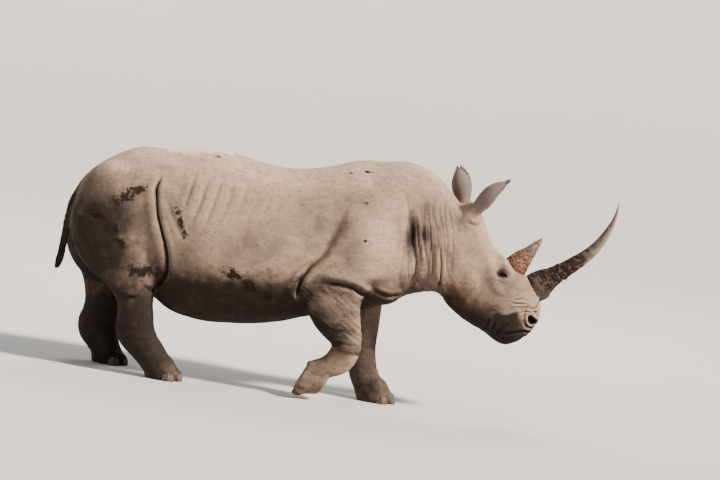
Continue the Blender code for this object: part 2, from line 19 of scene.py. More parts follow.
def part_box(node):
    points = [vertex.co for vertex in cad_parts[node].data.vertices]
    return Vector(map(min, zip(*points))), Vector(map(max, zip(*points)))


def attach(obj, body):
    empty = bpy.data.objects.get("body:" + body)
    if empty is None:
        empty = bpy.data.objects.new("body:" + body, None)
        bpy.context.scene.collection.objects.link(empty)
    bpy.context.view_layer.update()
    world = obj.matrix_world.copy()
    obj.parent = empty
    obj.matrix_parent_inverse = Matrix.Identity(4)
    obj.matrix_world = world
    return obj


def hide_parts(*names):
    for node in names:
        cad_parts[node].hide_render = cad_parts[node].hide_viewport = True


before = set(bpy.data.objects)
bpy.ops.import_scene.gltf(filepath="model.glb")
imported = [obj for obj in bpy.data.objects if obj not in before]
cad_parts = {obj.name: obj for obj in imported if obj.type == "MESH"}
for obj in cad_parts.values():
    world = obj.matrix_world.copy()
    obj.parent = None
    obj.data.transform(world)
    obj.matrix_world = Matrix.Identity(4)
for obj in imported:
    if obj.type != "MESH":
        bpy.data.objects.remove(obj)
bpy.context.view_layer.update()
BODY = "root"

# ======== landmarks (metres, body frame)
HEAD_AT = Vector((0.95, 0.0, 1.30))
HEAD_TURN = Matrix.Rotation(math.radians(7), 4, "Z") @ Matrix.Rotation(math.radians(47.5), 4, "Y")
EYE_AT = (0.405, 0.133, 0.035)  # in the head's frame, on the left side
TAIL_FRONT = -1.66
TAIL_REACH = 0.06
SEAM_X = 0.71  # where the fine skin of the neck meets the coarser skin
SEAM_GAP = 0.003
SEAM_MARGIN = 0.10  # how far behind the seam the fine mesh is made before it is cut back

# ---- ears
# Middle of the base, the way the ear points, the way its mouth faces, its length, and how many times
# broader it is than the sections below.
EARS = {
    "ear_right": ((0.995, -0.135, 1.42), (0.64, -0.12, 0.76), (0.76, 0.25, -0.62), 0.325, 1.12),
    "ear_left": ((0.945, 0.150, 1.44), (-0.24, 0.36, 0.90), (0.42, 0.85, 0.25), 0.28, 1.15),
}
# An ear's sections: how far along it, radius, and half the angle that stays open.
EAR = [
    (-0.30, 0.052, 4),
    (-0.12, 0.043, 6),
    (0.02, 0.037, 24),
    (0.16, 0.042, 38),
    (0.30, 0.052, 55),
    (0.45, 0.061, 72),
    (0.60, 0.061, 82),
    (0.73, 0.052, 88),
    (0.85, 0.036, 92),
    (0.94, 0.019, 95),
    (1.00, 0.006, 95),
]
EAR_PLACES = [row[0] for row in EAR]
EAR_SECTIONS = [row[1:] for row in EAR]
EAR_THICKNESS = 0.0095
EAR_NARROWEST = 0.35  # the cup's own radius stays over this share of the ear's
EAR_RINGS = 60
EAR_ARC = 26

# ---- folds of the body
# Each fold: its route seen from the side. From the route's start to its end its width and its depth.
# How high and how broad the rolls of skin are on its left and right as one goes along it. The share of
# its length over which each end fades. Where the animal's left side differs, how far its copy is moved.
FOLDS = {
    "flank": (
        [(-1.118, 1.405), (-1.145, 1.362), (-1.159, 1.306), (-1.148, 1.224), (-1.131, 1.157),
         (-1.107, 1.083), (-1.074, 0.998), (-1.041, 0.912), (-1.016, 0.81), (-1.012, 0.742),
         (-1.035, 0.675), (-1.07, 0.62), (-1.1, 0.58)],
        (0.01, 0.012), (0.02, 0.034), ((0.008, 2.0), (0.016, 3.2)), (0.1, 0.04), (-0.06, 0.0)
    ),
    "flank_second": (
        [(-1.075, 1.25), (-1.045, 1.17), (-1.008, 1.1), (-0.965, 1.03), (-0.925, 0.96)],
        (0.01, 0.016), (0.006, 0.006), ((0.002, 1.5), (0.003, 1.5)), (0.35, 0.35), (-0.05, 0.0)
    ),
    "hip": (
        [(-1.02, 1.45), (-1.06, 1.435), (-1.1, 1.4), (-1.118, 1.35)],
        (0.016, 0.012), (0.006, 0.008), ((0.003, 1.5), (0.003, 1.5)), (0.4, 0.3), (-0.06, 0.0)
    ),
    "shoulder": (
        [(0.125, 1.44), (0.118, 1.35), (0.113, 1.27), (0.092, 1.197), (0.066, 1.117), (0.045, 1.038),
         (0.01, 0.977), (-0.044, 0.906), (-0.084, 0.845), (-0.108, 0.773), (-0.104, 0.66)],
        (0.042, 0.012), (0.016, 0.034), ((0.01, 1.6), (0.018, 2.2)), (0.35, 0.08), (0.12, 0.0)
    ),
    "shoulder_second": (
        [(-0.03, 1.0), (-0.075, 0.945), (-0.125, 0.88), (-0.165, 0.8), (-0.18, 0.72)],
        (0.016, 0.014), (0.006, 0.01), ((0.003, 1.5), (0.004, 1.8)), (0.4, 0.3), (0.12, 0.0)
    ),
    "elbow": (
        [(0.03, 0.8), (0.062, 0.816), (0.128, 0.825), (0.197, 0.822), (0.27, 0.804), (0.315, 0.776),
         (0.4, 0.745)],
        (0.013, 0.014), (0.02, 0.022), ((0.02, 2.4), (0.0, 1.5)), (0.25, 0.2), (0.14, 0.0)
    ),
    "neck_base": (
        [(0.5, 1.5), (0.545, 1.42), (0.57, 1.345), (0.59, 1.27), (0.612, 1.19), (0.64, 1.11),
         (0.66, 1.03), (0.662, 0.95), (0.63, 0.87), (0.58, 0.81)],
        (0.022, 0.012), (0.017, 0.013), ((0.009, 1.8), (0.01, 1.8)), (0.3, 0.25)
    ),
    "neck_pleat_one": (
        [(0.6, 1.38), (0.625, 1.3), (0.645, 1.215), (0.668, 1.13), (0.69, 1.04), (0.69, 0.96)],
        (0.008, 0.008), (0.007, 0.006), ((0.004, 1.4), (0.004, 1.4)), (0.35, 0.4), (0.01, 0.0)
    ),
    "neck_pleat_two": (
        [(0.65, 1.36), (0.672, 1.27), (0.69, 1.18), (0.715, 1.09), (0.728, 1.01)],
        (0.007, 0.008), (0.006, 0.005), ((0.003, 1.4), (0.003, 1.4)), (0.3, 0.4), (0.015, 0.01)
    ),
    "neck_front": (
        [(0.785, 1.21), (0.803, 1.15), (0.822, 1.08), (0.836, 1.0), (0.843, 0.92), (0.838, 0.86)],
        (0.009, 0.008), (0.008, 0.012), ((0.003, 1.4), (0.007, 1.8)), (0.4, 0.12), (0.01, 0.0)
    ),
    "neck_front_second": (
        [(0.745, 1.16), (0.765, 1.08), (0.778, 1.0), (0.78, 0.92)],
        (0.008, 0.008), (0.006, 0.007), ((0.003, 1.4), (0.003, 1.4)), (0.4, 0.3), (0.01, 0.0)
    ),
    "behind_jaw": (
        [(0.88, 1.36), (0.886, 1.26), (0.892, 1.16), (0.892, 1.05), (0.885, 0.94)],
        (0.034, 0.03), (0.01, 0.013), ((0.002, 1.5), (0.003, 1.5)), (0.35, 0.3)
    ),
    "chest": (
        [(0.36, 0.83), (0.43, 0.79), (0.5, 0.775), (0.57, 0.785), (0.62, 0.8)],
        (0.012, 0.01), (0.01, 0.01), ((0.007, 1.6), (0.004, 1.6)), (0.35, 0.35)
    ),
    "knee_pit": (
        [(-1.42, 0.585), (-1.353, 0.556), (-1.29, 0.538), (-1.225, 0.535), (-1.12, 0.572)],
        (0.01, 0.012), (0.011, 0.008), ((0.009, 2.0), (0.002, 1.5)), (0.2, 0.4), (-0.2, -0.02)
    ),
    "rump_edge": (
        [(-1.735, 1.16), (-1.728, 1.06), (-1.69, 0.932), (-1.63, 0.83), (-1.56, 0.745), (-1.46, 0.655)],
        (0.02, 0.016), (0.006, 0.01), ((0.01, 2.6), (0.0, 1.5)), (0.4, 0.3)
    ),
}
# Broad forms under the skin: middle seen from the side, how far it reaches, how high it stands.
FORMS = [
    ((0.36, 1.10), (0.17, 0.30), 0.020),
    ((0.63, 1.20), (0.075, 0.17), -0.026),
    ((-0.03, 1.18), (0.08, 0.22), -0.014),
    ((-1.36, 0.95), (0.22, 0.26), 0.014),
    ((-0.99, 1.30), (0.07, 0.10), -0.016),
    ((-1.12, 1.47), (0.09, 0.05), 0.014),
    ((0.30, 0.90), (0.16, 0.05), 0.014),
    ((0.80, 1.02), (0.05, 0.10), 0.010),
    ((-0.55, 0.80), (0.35, 0.10), 0.012),
]
FOLD_POINTS = 90  # points along a fold's curve
FOLD_REACH = 9  # how far to the side a fold is felt, in steps of its width
FOLD_WOBBLE = 0.22  # how far it strays from its route, in steps of its width
# Painted shade darkens the folds' grooves, the more the steeper they are.
FOLD_STEEPEST = 1.7  # a groove this many times as deep as it is wide is fully dark
# Ribs: where the first groove is at RIB_LEVEL, the step between them, how many, and their lean.
RIB_START = -0.935
RIB_STEP = 0.088
RIB_COUNT = 10
RIB_FADING = 5  # they weaken as far forward as this groove, and fade out between it and the last
RIB_LEVEL = 1.30
RIB_LEAN = 0.23
RIB_DEPTH = 0.0122
RIB_DRIFT = 0.16  # how unevenly they are spaced, in steps
RIB_LOW = (1.02, 0.07, 0.26)  # their lower ends' height, how far it varies, and over how far they fade
RIB_HIGH = (1.34, 1.45)
# How much painted shade darkens the grooves between the ribs.
RIB_SHADE = 0.22
# Wrinkles by region, from coarse to fine: how many to a metre, a seed, how deep, and how dark with painted
# shade.
WRINKLES = {
    "neck": [(26, 11, 0.0050, 0.55), (58, 16, 0.0022, 0.55)],
    "legs": [(24, 12, 0.0030, 0.45), (60, 17, 0.0012, 0.45)],
    "arm": [(30, 13, 0.0034, 0.40), (66, 21, 0.0020, 0.60)],
    "muzzle": [(62, 18, 0.0026, 0.42)],
    "cheek": [(38, 19, 0.0016, 0.22)],
    "flank": [(30, 20, 0.0016, 0.20)],
    "shoulder": [(27, 23, 0.0017, 0.22)],
}
# How much coarser the wrinkles' noise is along them than across: on the neck, the legs and the arms.
NECK_LONG, LEG_LONG, ARM_LONG = 0.085, 0.12, 0.10
ARM_SLANT = 0.75
MUZZLE_SLANT = (0.82, 0.57)
# Lumps all over: how many to a metre, a seed and how high.
LUMPS = [(11, 14, 0.0016), (26, 15, 0.0009)]

# ---- the face, in the head's frame: u from nape to lips, w to the crown
EYE_HALF = (0.0240, 0.0108)  # half the length and height between the lids
EYE_TURN = math.radians(33)  # how far the eye's long axis leans up from the head's
EYE_BALL = 0.024
EYE_SUNK = 0.0018  # how far the ball's front lies behind the face
EYE_AROUND = 0.13  # how far the lids and the folds reach from the eye
EYE_UNDER = (2.05, 2.65, 3.3, 4.0, 4.7)  # folds below the eye, in steps of the opening's own size
EYE_OVER = (2.0, 2.9, 3.9)
EYE_FOLD = (0.0030, 0.0024)  # depth of such a fold, and height of the roll beside it
EYE_DEPTH = 0.020
LID_HEIGHT = 0.0052
BROW_HEIGHT = 0.0080
SOCKET_DEPTH = 0.0060
NOSTRIL_AT = (0.787, 0.020)
NOSTRIL_HALF = (0.039, 0.025)
NOSTRIL_TURN = math.radians(12)
NOSTRIL_DEPTH = 0.045
NOSTRIL_WING = 0.0065
NOSTRIL_AROUND = 0.11
FACE_FOLDS = {
    "mouth": (
        [(0.875, -0.035), (0.829, -0.055), (0.795, -0.105), (0.764, -0.172), (0.75, -0.2)],
        (0.007, 0.007), (0.013, 0.013), ((0.005, 1.8), (0.004, 1.6)), (0.05, 0.15)
    ),
    "muzzle_front": (
        [(0.7, 0.185), (0.722, 0.15), (0.735, 0.105), (0.735, 0.06)],
        (0.008, 0.007), (0.01, 0.007), ((0.004, 1.5), (0.004, 1.5)), (0.2, 0.35)
    ),
    "cheek": (
        [(0.33, -0.06), (0.38, -0.14), (0.43, -0.22), (0.47, -0.3)],
        (0.032, 0.03), (0.008, 0.008), ((0.002, 1.5), (0.004, 1.5)), (0.35, 0.35)
    ),
    "temple": (
        [(0.2, 0.03), (0.27, 0.06), (0.33, 0.085), (0.37, 0.1)],
        (0.024, 0.016), (0.008, 0.006), ((0.003, 1.5), (0.002, 1.5)), (0.4, 0.4)
    ),
    "lip_corner": (
        [(0.715, -0.1), (0.705, -0.15), (0.712, -0.21), (0.735, -0.255)],
        (0.01, 0.009), (0.006, 0.007), ((0.003, 1.5), (0.004, 1.5)), (0.35, 0.3)
    ),
    "jaw_one": (
        [(0.6, -0.2), (0.63, -0.245), (0.67, -0.28)],
        (0.008, 0.008), (0.005, 0.006), ((0.003, 1.5), (0.003, 1.5)), (0.35, 0.2)
    ),
    "jaw_two": (
        [(0.635, -0.17), (0.665, -0.22), (0.7, -0.262)],
        (0.008, 0.008), (0.005, 0.006), ((0.003, 1.5), (0.003, 1.5)), (0.35, 0.2)
    ),
    "ear_root": (
        [(-0.055, 0.035), (-0.02, 0.045), (0.015, 0.075), (0.03, 0.115)],
        (0.01, 0.01), (0.008, 0.008), ((0.004, 1.5), (0.004, 1.5)), (0.3, 0.3)
    ),
}
# Short creases across the muzzle, all alike in width, depth, rolls and ends, and a little wavy.
MUZZLE_CREASE = ((0.005, 0.005), (0.004, 0.004), ((0.002, 1.4), (0.002, 1.4)), (0.35, 0.35))
MUZZLE_WAVE = 0.005
MUZZLE_STEPS = (0, 0.33, 0.66, 1)
# Where each starts and how far it runs, in the head's (u, w).
MUZZLE_CREASES = [
    ((0.585, -0.01), (0.060, 0.085)),
    ((0.612, -0.03), (0.080, 0.112)),
    ((0.640, -0.03), (0.080, 0.115)),
    ((0.664, -0.02), (0.075, 0.110)),
    ((0.690, -0.015), (0.065, 0.100)),
    ((0.715, 0.005), (0.050, 0.085)),
    ((0.755, 0.055), (0.015, 0.060)),
    ((0.775, 0.060), (0.010, 0.055)),
]

# ---- horns, nails, hair
HORN_YAW = math.radians(7)  # the horns lean with the head
# Horns, before the head is turned: x, z of the axis, reach fore and aft, reach sideways.
HORNS = {
    "horn_front": [
        (1.482, 0.920, 0.098, 0.078),
        (1.500, 0.938, 0.100, 0.080),
        (1.535, 0.972, 0.105, 0.082),
        (1.572, 1.005, 0.089, 0.071),
        (1.628, 1.048, 0.067, 0.059),
        (1.687, 1.094, 0.060, 0.053),
        (1.745, 1.139, 0.052, 0.047),
        (1.808, 1.192, 0.045, 0.042),
        (1.870, 1.254, 0.039, 0.037),
        (1.926, 1.332, 0.032, 0.031),
        (1.969, 1.418, 0.023, 0.023),
        (1.997, 1.494, 0.014, 0.015),
        (2.009, 1.560, 0.0085, 0.009),
        (2.0138, 1.6255, 0.0015, 0.0015),
    ],
    "horn_rear": [
        (1.325, 1.035, 0.080, 0.068),
        (1.355, 1.085, 0.084, 0.071),
        (1.392, 1.135, 0.069, 0.057),
        (1.432, 1.185, 0.048, 0.042),
        (1.470, 1.237, 0.030, 0.028),
        (1.499, 1.278, 0.015, 0.014),
        (1.5125, 1.301, 0.0025, 0.0025),
    ],
}
HORN_RINGS = {"horn_front": 420, "horn_rear": 190}
HORN_SIDES = 128
# A horn's relief: how fine it is round the horn and along it, a seed, and how high it stands.
HORN_GROWTH = (0.7, 75, 31, 0.0030)
HORN_LUMPS = (2.2, 34, 33, 0.0045)
HORN_CLODS = (3.6, 75, 34, 0.0042)
HORN_FIBRES = (9, 6, 32, 0.0016)
HORN_SUNK = 0.002
NAIL_VOXEL = 0.0022
NAIL_ROUNDS = 5
NAIL_OUT = 0.0016  # how far a nail stands off its solid, with its growth lines and its lumps
NAIL_LINES = 0.0006
NAIL_LUMPS = 0.0009

# The tail's tuft: how many locks, how many strands in each, how long the uppermost locks are and how
# much longer the lowest, how far they stand out fore and aft and sideways, and where they all end.
TUFT_LOCKS = 420
TUFT_STRANDS = 5
TUFT_LENGTH = (0.075, 0.085)
TUFT_SPREAD = (1.15, 0.55)
TUFT_END = (-1.790, 0.012, 0.628)
TUFT_STRAY = (0.006, 0.005)  # how far the locks' ends miss it, fore and aft and sideways
TUFT_ROOTS = (0.008, 0.013)  # how far a strand starts from the tail's middle
TUFT_BULGE = (0.004, 0.012)
TUFT_SWAY = 0.0015
TUFT_THICKNESS = (0.0009, 0.0017)
# The middle of the tail, from where the tuft's first hairs grow down to its end.
TAIL_LINE = [
    (-1.742, 0.001, 1.06),
    (-1.750, 0.003, 1.02),
    (-1.757, 0.006, 0.90),
    (-1.762, 0.008, 0.80),
    (-1.765, 0.009, 0.76),
]
# The same for the hair on the rims of the ears, which is longest towards the tip.
FRINGE_LOCKS = 330
FRINGE_STRANDS = 3
FRINGE_RUN = 0.72  # the share of the rim, down from the tip, that has hair
FRINGE_LENGTH = (0.010, 0.015)
FRINGE_SUNK = 0.003
FRINGE_STRAY = 0.0016
FRINGE_LEAN = 0.16
FRINGE_THICKNESS = (0.0004, 0.0007)
HAIR_SEED = 7
HAIR_TURN = 2.1  # the angle from one corner of a strand to the next
HAIR_PATCH = 0.0013  # a strand's reach in the bake map
HAIR_ACROSS = (0.31, 0.83, 0.45)  # a way in which no strand runs

# ---- dry mud
# Patches on each side: middle seen from the side, half length and half height, lean.
MUD = [
    ((-1.345, 1.225), (0.115, 0.045), 0.62),
    ((-1.265, 1.280), (0.060, 0.030), 0.50),
    ((-1.500, 1.055), (0.095, 0.028), -0.30),
    ((-1.415, 0.990), (0.060, 0.045), -0.60),
    ((-1.345, 0.900), (0.045, 0.035), -0.60),
    ((-1.185, 0.735), (0.115, 0.048), 0.15),
    ((-0.970, 1.120), (0.022, 0.085), 0.45),
    ((-0.920, 1.020), (0.020, 0.050), 0.45),
    ((-0.560, 0.805), (0.090, 0.036), -0.30),
    ((-0.445, 0.735), (0.065, 0.055), -0.50),
    ((-0.310, 0.680), (0.035, 0.040), 0.00),
    ((0.275, 1.395), (0.024, 0.016), 0.00),
    ((0.295, 1.145), (0.018, 0.018), 0.00),
    ((0.255, 1.600), (0.045, 0.008), 0.10),
    ((0.130, 1.580), (0.020, 0.010), 0.00),
    ((-0.775, 1.560), (0.030, 0.008), -0.10),
]
LEFT_MUD_AHEAD = 0.11  # how far ahead, on average, and down the left side's patches are moved
LEFT_MUD_DOWN = 0.06
# The dusty patch on the back, seen from above.
DUST_AT = (-0.93, -0.05)
DUST_REACH = (0.24, 0.11)

# ---- the meshes: the size of their squares, and how many rounds of smoothing they get
FINE_VOXEL = 0.0036
FINE_ROUNDS = 7
COARSE_VOXEL = 0.0078
COARSE_ROUNDS = 60
SWELL = 0.001  # how far each solid is grown, so that the thin cuts between them close

SIDES = {"right": -1, "left": 1}
LIMB_NODES = ["thigh", "shank", "foot_hind", "arm", "cannon", "foot_fore"]
BODY_NODES = ["head", "neck", "trunk", "tail"]
BODY_NODES += [f"{node}_{side}" for node in LIMB_NODES for side in SIDES]
EAR_NODES = ["ear_right", "ear_left"]
EYE_NODES = ["eye_right", "eye_left"]
NAIL_NODES = [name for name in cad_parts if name.startswith("nail_")]


def node_middle(name):
    low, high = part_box(name)
    return (low + high) / 2


head_matrix = Matrix.Translation(HEAD_AT) @ HEAD_TURN
HEAD_INVERSE = np.array(head_matrix.inverted())
ORIGIN = node_middle("eye_right") - head_matrix @ Vector((EYE_AT[0], -EYE_AT[1], EYE_AT[2]))


# ======== numbers and curves
def smoothstep(low, high, value):
    t = np.clip((value - low) / (high - low), 0.0, 1.0)
    return t * t * (3 - 2 * t)


def within(value, start, full, fading, end):
    """1 between two values of an axis, which it reaches and leaves gently."""
    return smoothstep(start, full, value) * (1 - smoothstep(fading, end, value))


def bell(value, width):
    return np.exp(-((value / width) ** 2))


def mound(x, z, at, reach):
    """1 at a place seen from the side, and less with distance from it, over its reach along X and Z."""
    return bell(x - at[0], reach[0]) * bell(z - at[1], reach[1])


def oval(a, b, long, high):
    """How far out each place is, in ovals round the middle: 1 on the one with these half axes."""
    return np.sqrt((a / long) ** 2 + (b / high) ** 2)


def leaned(x, z, lean):
    """The places along and across a line that leans up by so much."""
    cos, sin = math.cos(lean), math.sin(lean)
    return x * cos + z * sin, -x * sin + z * cos


def unit_rows(ways):
    return ways / np.linalg.norm(ways, axis=1)[:, None]


def lengths_along(points):
    """How far along the line through the points each of them is."""
    return np.concatenate(([0], np.cumsum(np.linalg.norm(np.diff(points, axis=0), axis=1))))


def spline(knots, values, at):
    """A smooth curve through the values, with each tangent taken from its two neighbours."""
    knots = np.asarray(knots, float)
    values = np.asarray(values, float)
    at = np.asarray(at, float)
    steps = np.diff(knots)[:, None]
    slopes = np.diff(values, axis=0) / steps
    tangents = np.empty_like(values)
    tangents[0] = slopes[0]
    tangents[-1] = slopes[-1]
    tangents[1:-1] = (slopes[:-1] * steps[1:] + slopes[1:] * steps[:-1]) / (steps[:-1] + steps[1:])
    left = np.clip(np.searchsorted(knots, at, side="right") - 1, 0, len(knots) - 2)
    width = (knots[left + 1] - knots[left])[:, None]
    t = (at - knots[left])[:, None] / width
    rise = t * t * (3 - 2 * t)
    lean_in = t * (1 - t) ** 2 * width * tangents[left]
    lean_out = t * t * (1 - t) * width * tangents[left + 1]
    return values[left] * (1 - rise) + values[left + 1] * rise + lean_in - lean_out


def curve_through(points, count):
    """Evenly numbered points along a smooth curve through a few."""
    points = np.array(points, float)
    knots = lengths_along(points)
    return spline(knots, points, np.linspace(0, knots[-1], count))


# ======== meshes as arrays
def read(items, key, width, kind=np.float32):
    """One property of all of a mesh's vertices or edges, a row for each."""
    found = np.empty(len(items) * width, kind)
    items.foreach_get(key, found)
    return found.reshape(-1, width)


def points_of(mesh):
    return read(mesh.vertices, "co", 3).astype(float)


def normals_of(mesh):
    return read(mesh.vertex_normals, "vector", 3).astype(float)


def edges_of(mesh):
    return read(mesh.edges, "vertices", 2, np.int32)


def columns(*values):
    """Three lists of numbers as the columns of one array."""
    return np.stack(values, axis=1)


def mesh_of(bm, name):
    """A mesh made of the bmesh, which ends with this."""
    mesh = bpy.data.meshes.new(name)
    bm.to_mesh(mesh)
    bm.free()
    return mesh


def mesh_from(name, points, faces):
    """A mesh with these points, and faces that name them by number."""
    mesh = bpy.data.meshes.new(name)
    mesh.from_pydata(points, [], faces)
    return mesh


def tube_walls(rings, sides, start=0):
    """The faces between so many rings of points, which are numbered ring by ring from the start."""
    faces = []
    for low in range(start, start + (rings - 1) * sides, sides):
        for i in range(sides):
            j = (i + 1) % sides
            faces.append((low + i, low + j, low + sides + j, low + sides + i))
    return faces


def set_points(mesh, points):
    mesh.vertices.foreach_set("co", points.astype(np.float32).ravel())
    mesh.update()


def blurred(points, edges, share, rounds):
    """The points after so many rounds in which each moves towards the middle of its neighbours."""
    count = len(points)
    a, b = edges[:, 0], edges[:, 1]
    valence = np.bincount(a, minlength=count) + np.bincount(b, minlength=count)
    pull = 0.5 * share / np.maximum(valence, 1)
    result = points.copy()
    for _ in range(rounds):
        for axis in range(result.shape[1]):
            column = result[:, axis]
            near = np.bincount(a, weights=column[b], minlength=count)
            near += np.bincount(b, weights=column[a], minlength=count)
            result[:, axis] = column + pull * (near - valence * column)
    return result


def faired(points, edges, share, rounds):
    """Blurs facets away and then gives back the size that blurring takes from round forms."""
    once = blurred(points, edges, share, rounds)
    twice = blurred(once, edges, share, rounds)
    return once + (once - twice)


# ======== the skin's mesh
def linked(name, mesh):
    piece = bpy.data.objects.new(name, mesh)
    bpy.context.scene.collection.objects.link(piece)
    return piece


def solid_of(name):
    """A CAD solid in the body frame, grown by a hair so that the thin cuts between solids close."""
    bm = bmesh.new()
    bm.from_mesh(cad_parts[name].data)
    bmesh.ops.remove_doubles(bm, verts=bm.verts, dist=1e-6)
    bm.normal_update()
    moves = [vert.normal * SWELL - ORIGIN for vert in bm.verts]
    for vert, move in zip(bm.verts, moves):
        vert.co += move
    return mesh_of(bm, name)


def remeshed(meshes, voxel):
    """The closed meshes as one mesh of even small squares."""
    whole = bmesh.new()
    for mesh in meshes:
        whole.from_mesh(mesh)
        bpy.data.meshes.remove(mesh)
    mesh = mesh_of(whole, "clay")
    piece = linked("clay", mesh)
    remesh = piece.modifiers.new("clay", "REMESH")
    remesh.mode = "VOXEL"
    remesh.voxel_size = voxel
    graph = bpy.context.evaluated_depsgraph_get()
    result = bpy.data.meshes.new_from_object(piece.evaluated_get(graph))
    bpy.data.objects.remove(piece)
    bpy.data.meshes.remove(mesh)
    return result


def cut_at(mesh, x, keep_front, closed=False):
    """A copy of the mesh that ends at a plane across X, in an open rim or in a flat face."""
    bm = bmesh.new()
    bm.from_mesh(mesh)
    everything = bm.verts[:] + bm.edges[:] + bm.faces[:]
    plane = {"plane_co": (x, 0, 0), "plane_no": (1, 0, 0)}
    bmesh.ops.bisect_plane(bm, geom=everything, clear_inner=keep_front, clear_outer=not keep_front, **plane)
    if closed:
        bmesh.ops.holes_fill(bm, edges=[edge for edge in bm.edges if edge.is_boundary], sides=0)
    return mesh_of(bm, "part")


def rim_round_neck(verts):
    """The rim's vertices in order round the neck, with their angles."""
    rim = [vert for vert in verts if vert.is_boundary]
    middle = sum((vert.co for vert in rim), Vector()) / len(rim)
    marked = [(math.atan2(vert.co.z - middle.z, vert.co.y - middle.y), vert) for vert in rim]
    return sorted(marked, key=lambda pair: pair[0])


def zipped(back, front):
    """One mesh of the two, whose rims are joined by a narrow band of triangles."""
    bm = bmesh.new()
    bm.from_mesh(back)
    bm.verts.ensure_lookup_table()
    count = len(bm.verts)
    bm.from_mesh(front)
    bm.verts.ensure_lookup_table()
    one = rim_round_neck(bm.verts[:count])
    two = rim_round_neck(bm.verts[count:])
    i = j = 0
    while i < len(one) or j < len(two):
        next_one = one[i + 1][0] if i + 1 < len(one) else one[0][0] + 2 * math.pi
        next_two = two[j + 1][0] if j + 1 < len(two) else two[0][0] + 2 * math.pi
        here_one = one[i % len(one)][1]
        here_two = two[j % len(two)][1]
        if j >= len(two) or (i < len(one) and next_one <= next_two):
            i += 1
            bm.faces.new((here_one, one[i % len(one)][1], here_two))
        else:
            j += 1
            bm.faces.new((here_one, two[j % len(two)][1], here_two))
    bmesh.ops.recalc_face_normals(bm, faces=bm.faces)
    return mesh_of(bm, "skin")


def head_frame(points):
    """Points of the body frame in the head's own: from nape to lips, to its left, and to its crown."""
    return points @ HEAD_INVERSE[:3, :3].T + HEAD_INVERSE[:3, 3]


def body_share(points):
    """How strongly each point is smoothed: less on the head and the feet, and hardly on the tail."""
    x, y, z = points.T
    tail = (x < TAIL_FRONT) & (np.abs(y) < TAIL_REACH)
    low = 0.24 + 0.76 * smoothstep(0.10, 0.45, z)
    head = 1 - 0.45 * smoothstep(1.0, 1.25, x)
    return np.where(tail, 0.04, np.minimum(low, head))


def band_loft(rings):
    """A closed shell through rings that run out along one face of a leaf and back along the other."""
    bm = bmesh.new()
    verts = [bm.verts.new(point) for ring in rings for point in ring]
    count = len(rings[0])
    faces = tube_walls(len(rings), count)
    for low in (0, len(verts) - count):
        top = low + count - 1
        faces += [(low + i, low + i + 1, top - 1 - i, top - i) for i in range(count // 2 - 1)]
    for face in faces:
        bm.faces.new([verts[i] for i in face])
    bmesh.ops.recalc_face_normals(bm, faces=bm.faces)
    return mesh_of(bm, "leaf")


def ear_axes(name):
    """Where an ear starts, its own axes, its length, and how much broader it is than EAR."""
    base, along, facing, length, breadth = EARS[name]
    axis = Vector(along).normalized()
    mouth = Vector(facing)
    mouth = (mouth - axis * mouth.dot(axis)).normalized()
    return Vector(base), axis, mouth, axis.cross(mouth), length, breadth


def ear_point(name, t, angle, inset):
    """A point of an ear: how far along it, at what angle from its spine, and how deep below its back."""
    base, axis, mouth, across, length, breadth = ear_axes(name)
    radius, _ = spline(EAR_PLACES, EAR_SECTIONS, [t])[0]
    reach = max(radius * breadth - inset, radius * EAR_NARROWEST)
    return base + axis * t * length + (across * math.sin(angle) - mouth * math.cos(angle)) * reach


def ear_solid(name):
    """A cupped leaf with a thick root, open on the side of its mouth."""
    rings = []
    places = np.linspace(EAR[0][0], 1.0, EAR_RINGS)
    openings = spline(EAR_PLACES, EAR_SECTIONS, places)[:, 1]
    for t, opening in zip(places, openings):
        edge = math.radians(180 - opening)
        arc = np.linspace(-edge, edge, EAR_ARC)
        ring = [ear_point(name, t, angle, 0.0) for angle in arc]
        ring += [ear_point(name, t, angle, EAR_THICKNESS) for angle in arc[::-1]]
        rings.append(ring)
    return band_loft(rings)


def refined(mesh, spots):
    """Splits the mesh's squares in four round each spot, once for every radius that it gives."""
    points = points_of(mesh)
    bm = bmesh.new()
    bm.from_mesh(mesh)
    for centre, radii in spots:
        bm.verts.ensure_lookup_table()
        near = np.flatnonzero(np.linalg.norm(points - np.array(centre), axis=1) < radii[0] * 1.2)
        inside = {bm.verts[i] for i in near}
        for radius in radii:
            valid = (vert for vert in inside if vert.is_valid)
            ball = {vert for vert in valid if (vert.co - centre).length < radius}
            edges = {edge for vert in ball for edge in vert.link_edges if edge.other_vert(vert) in ball}
            made = bmesh.ops.subdivide_edges(bm, edges=list(edges), cuts=1, use_grid_fill=True, smooth=0.6)
            inside = ball | {item for item in made["geom_inner"] if isinstance(item, bmesh.types.BMVert)}
    bm.to_mesh(mesh)
    bm.free()
    return mesh


def skin_mesh():
    """The whole skin, smooth and without detail, fine on the head and coarser on the body."""
    body = remeshed([solid_of(name) for name in BODY_NODES + EYE_NODES], COARSE_VOXEL)
    points = points_of(body)
    set_points(body, faired(points, edges_of(body), body_share(points), COARSE_ROUNDS))
    front = cut_at(body, SEAM_X - SEAM_MARGIN, keep_front=True, closed=True)
    fine = remeshed([front] + [ear_solid(name) for name in EAR_NODES], FINE_VOXEL)
    points = points_of(fine)
    share = np.full(len(points), 0.5)
    set_points(fine, faired(points, edges_of(fine), share, FINE_ROUNDS))
    back = cut_at(body, SEAM_X - SEAM_GAP, keep_front=False)
    front = cut_at(fine, SEAM_X + SEAM_GAP, keep_front=True)
    return zipped(back, front)


# ======== noise
NOISE_HALF = 4096  # cells from the middle of the noise's grid to where its numbers would turn negative


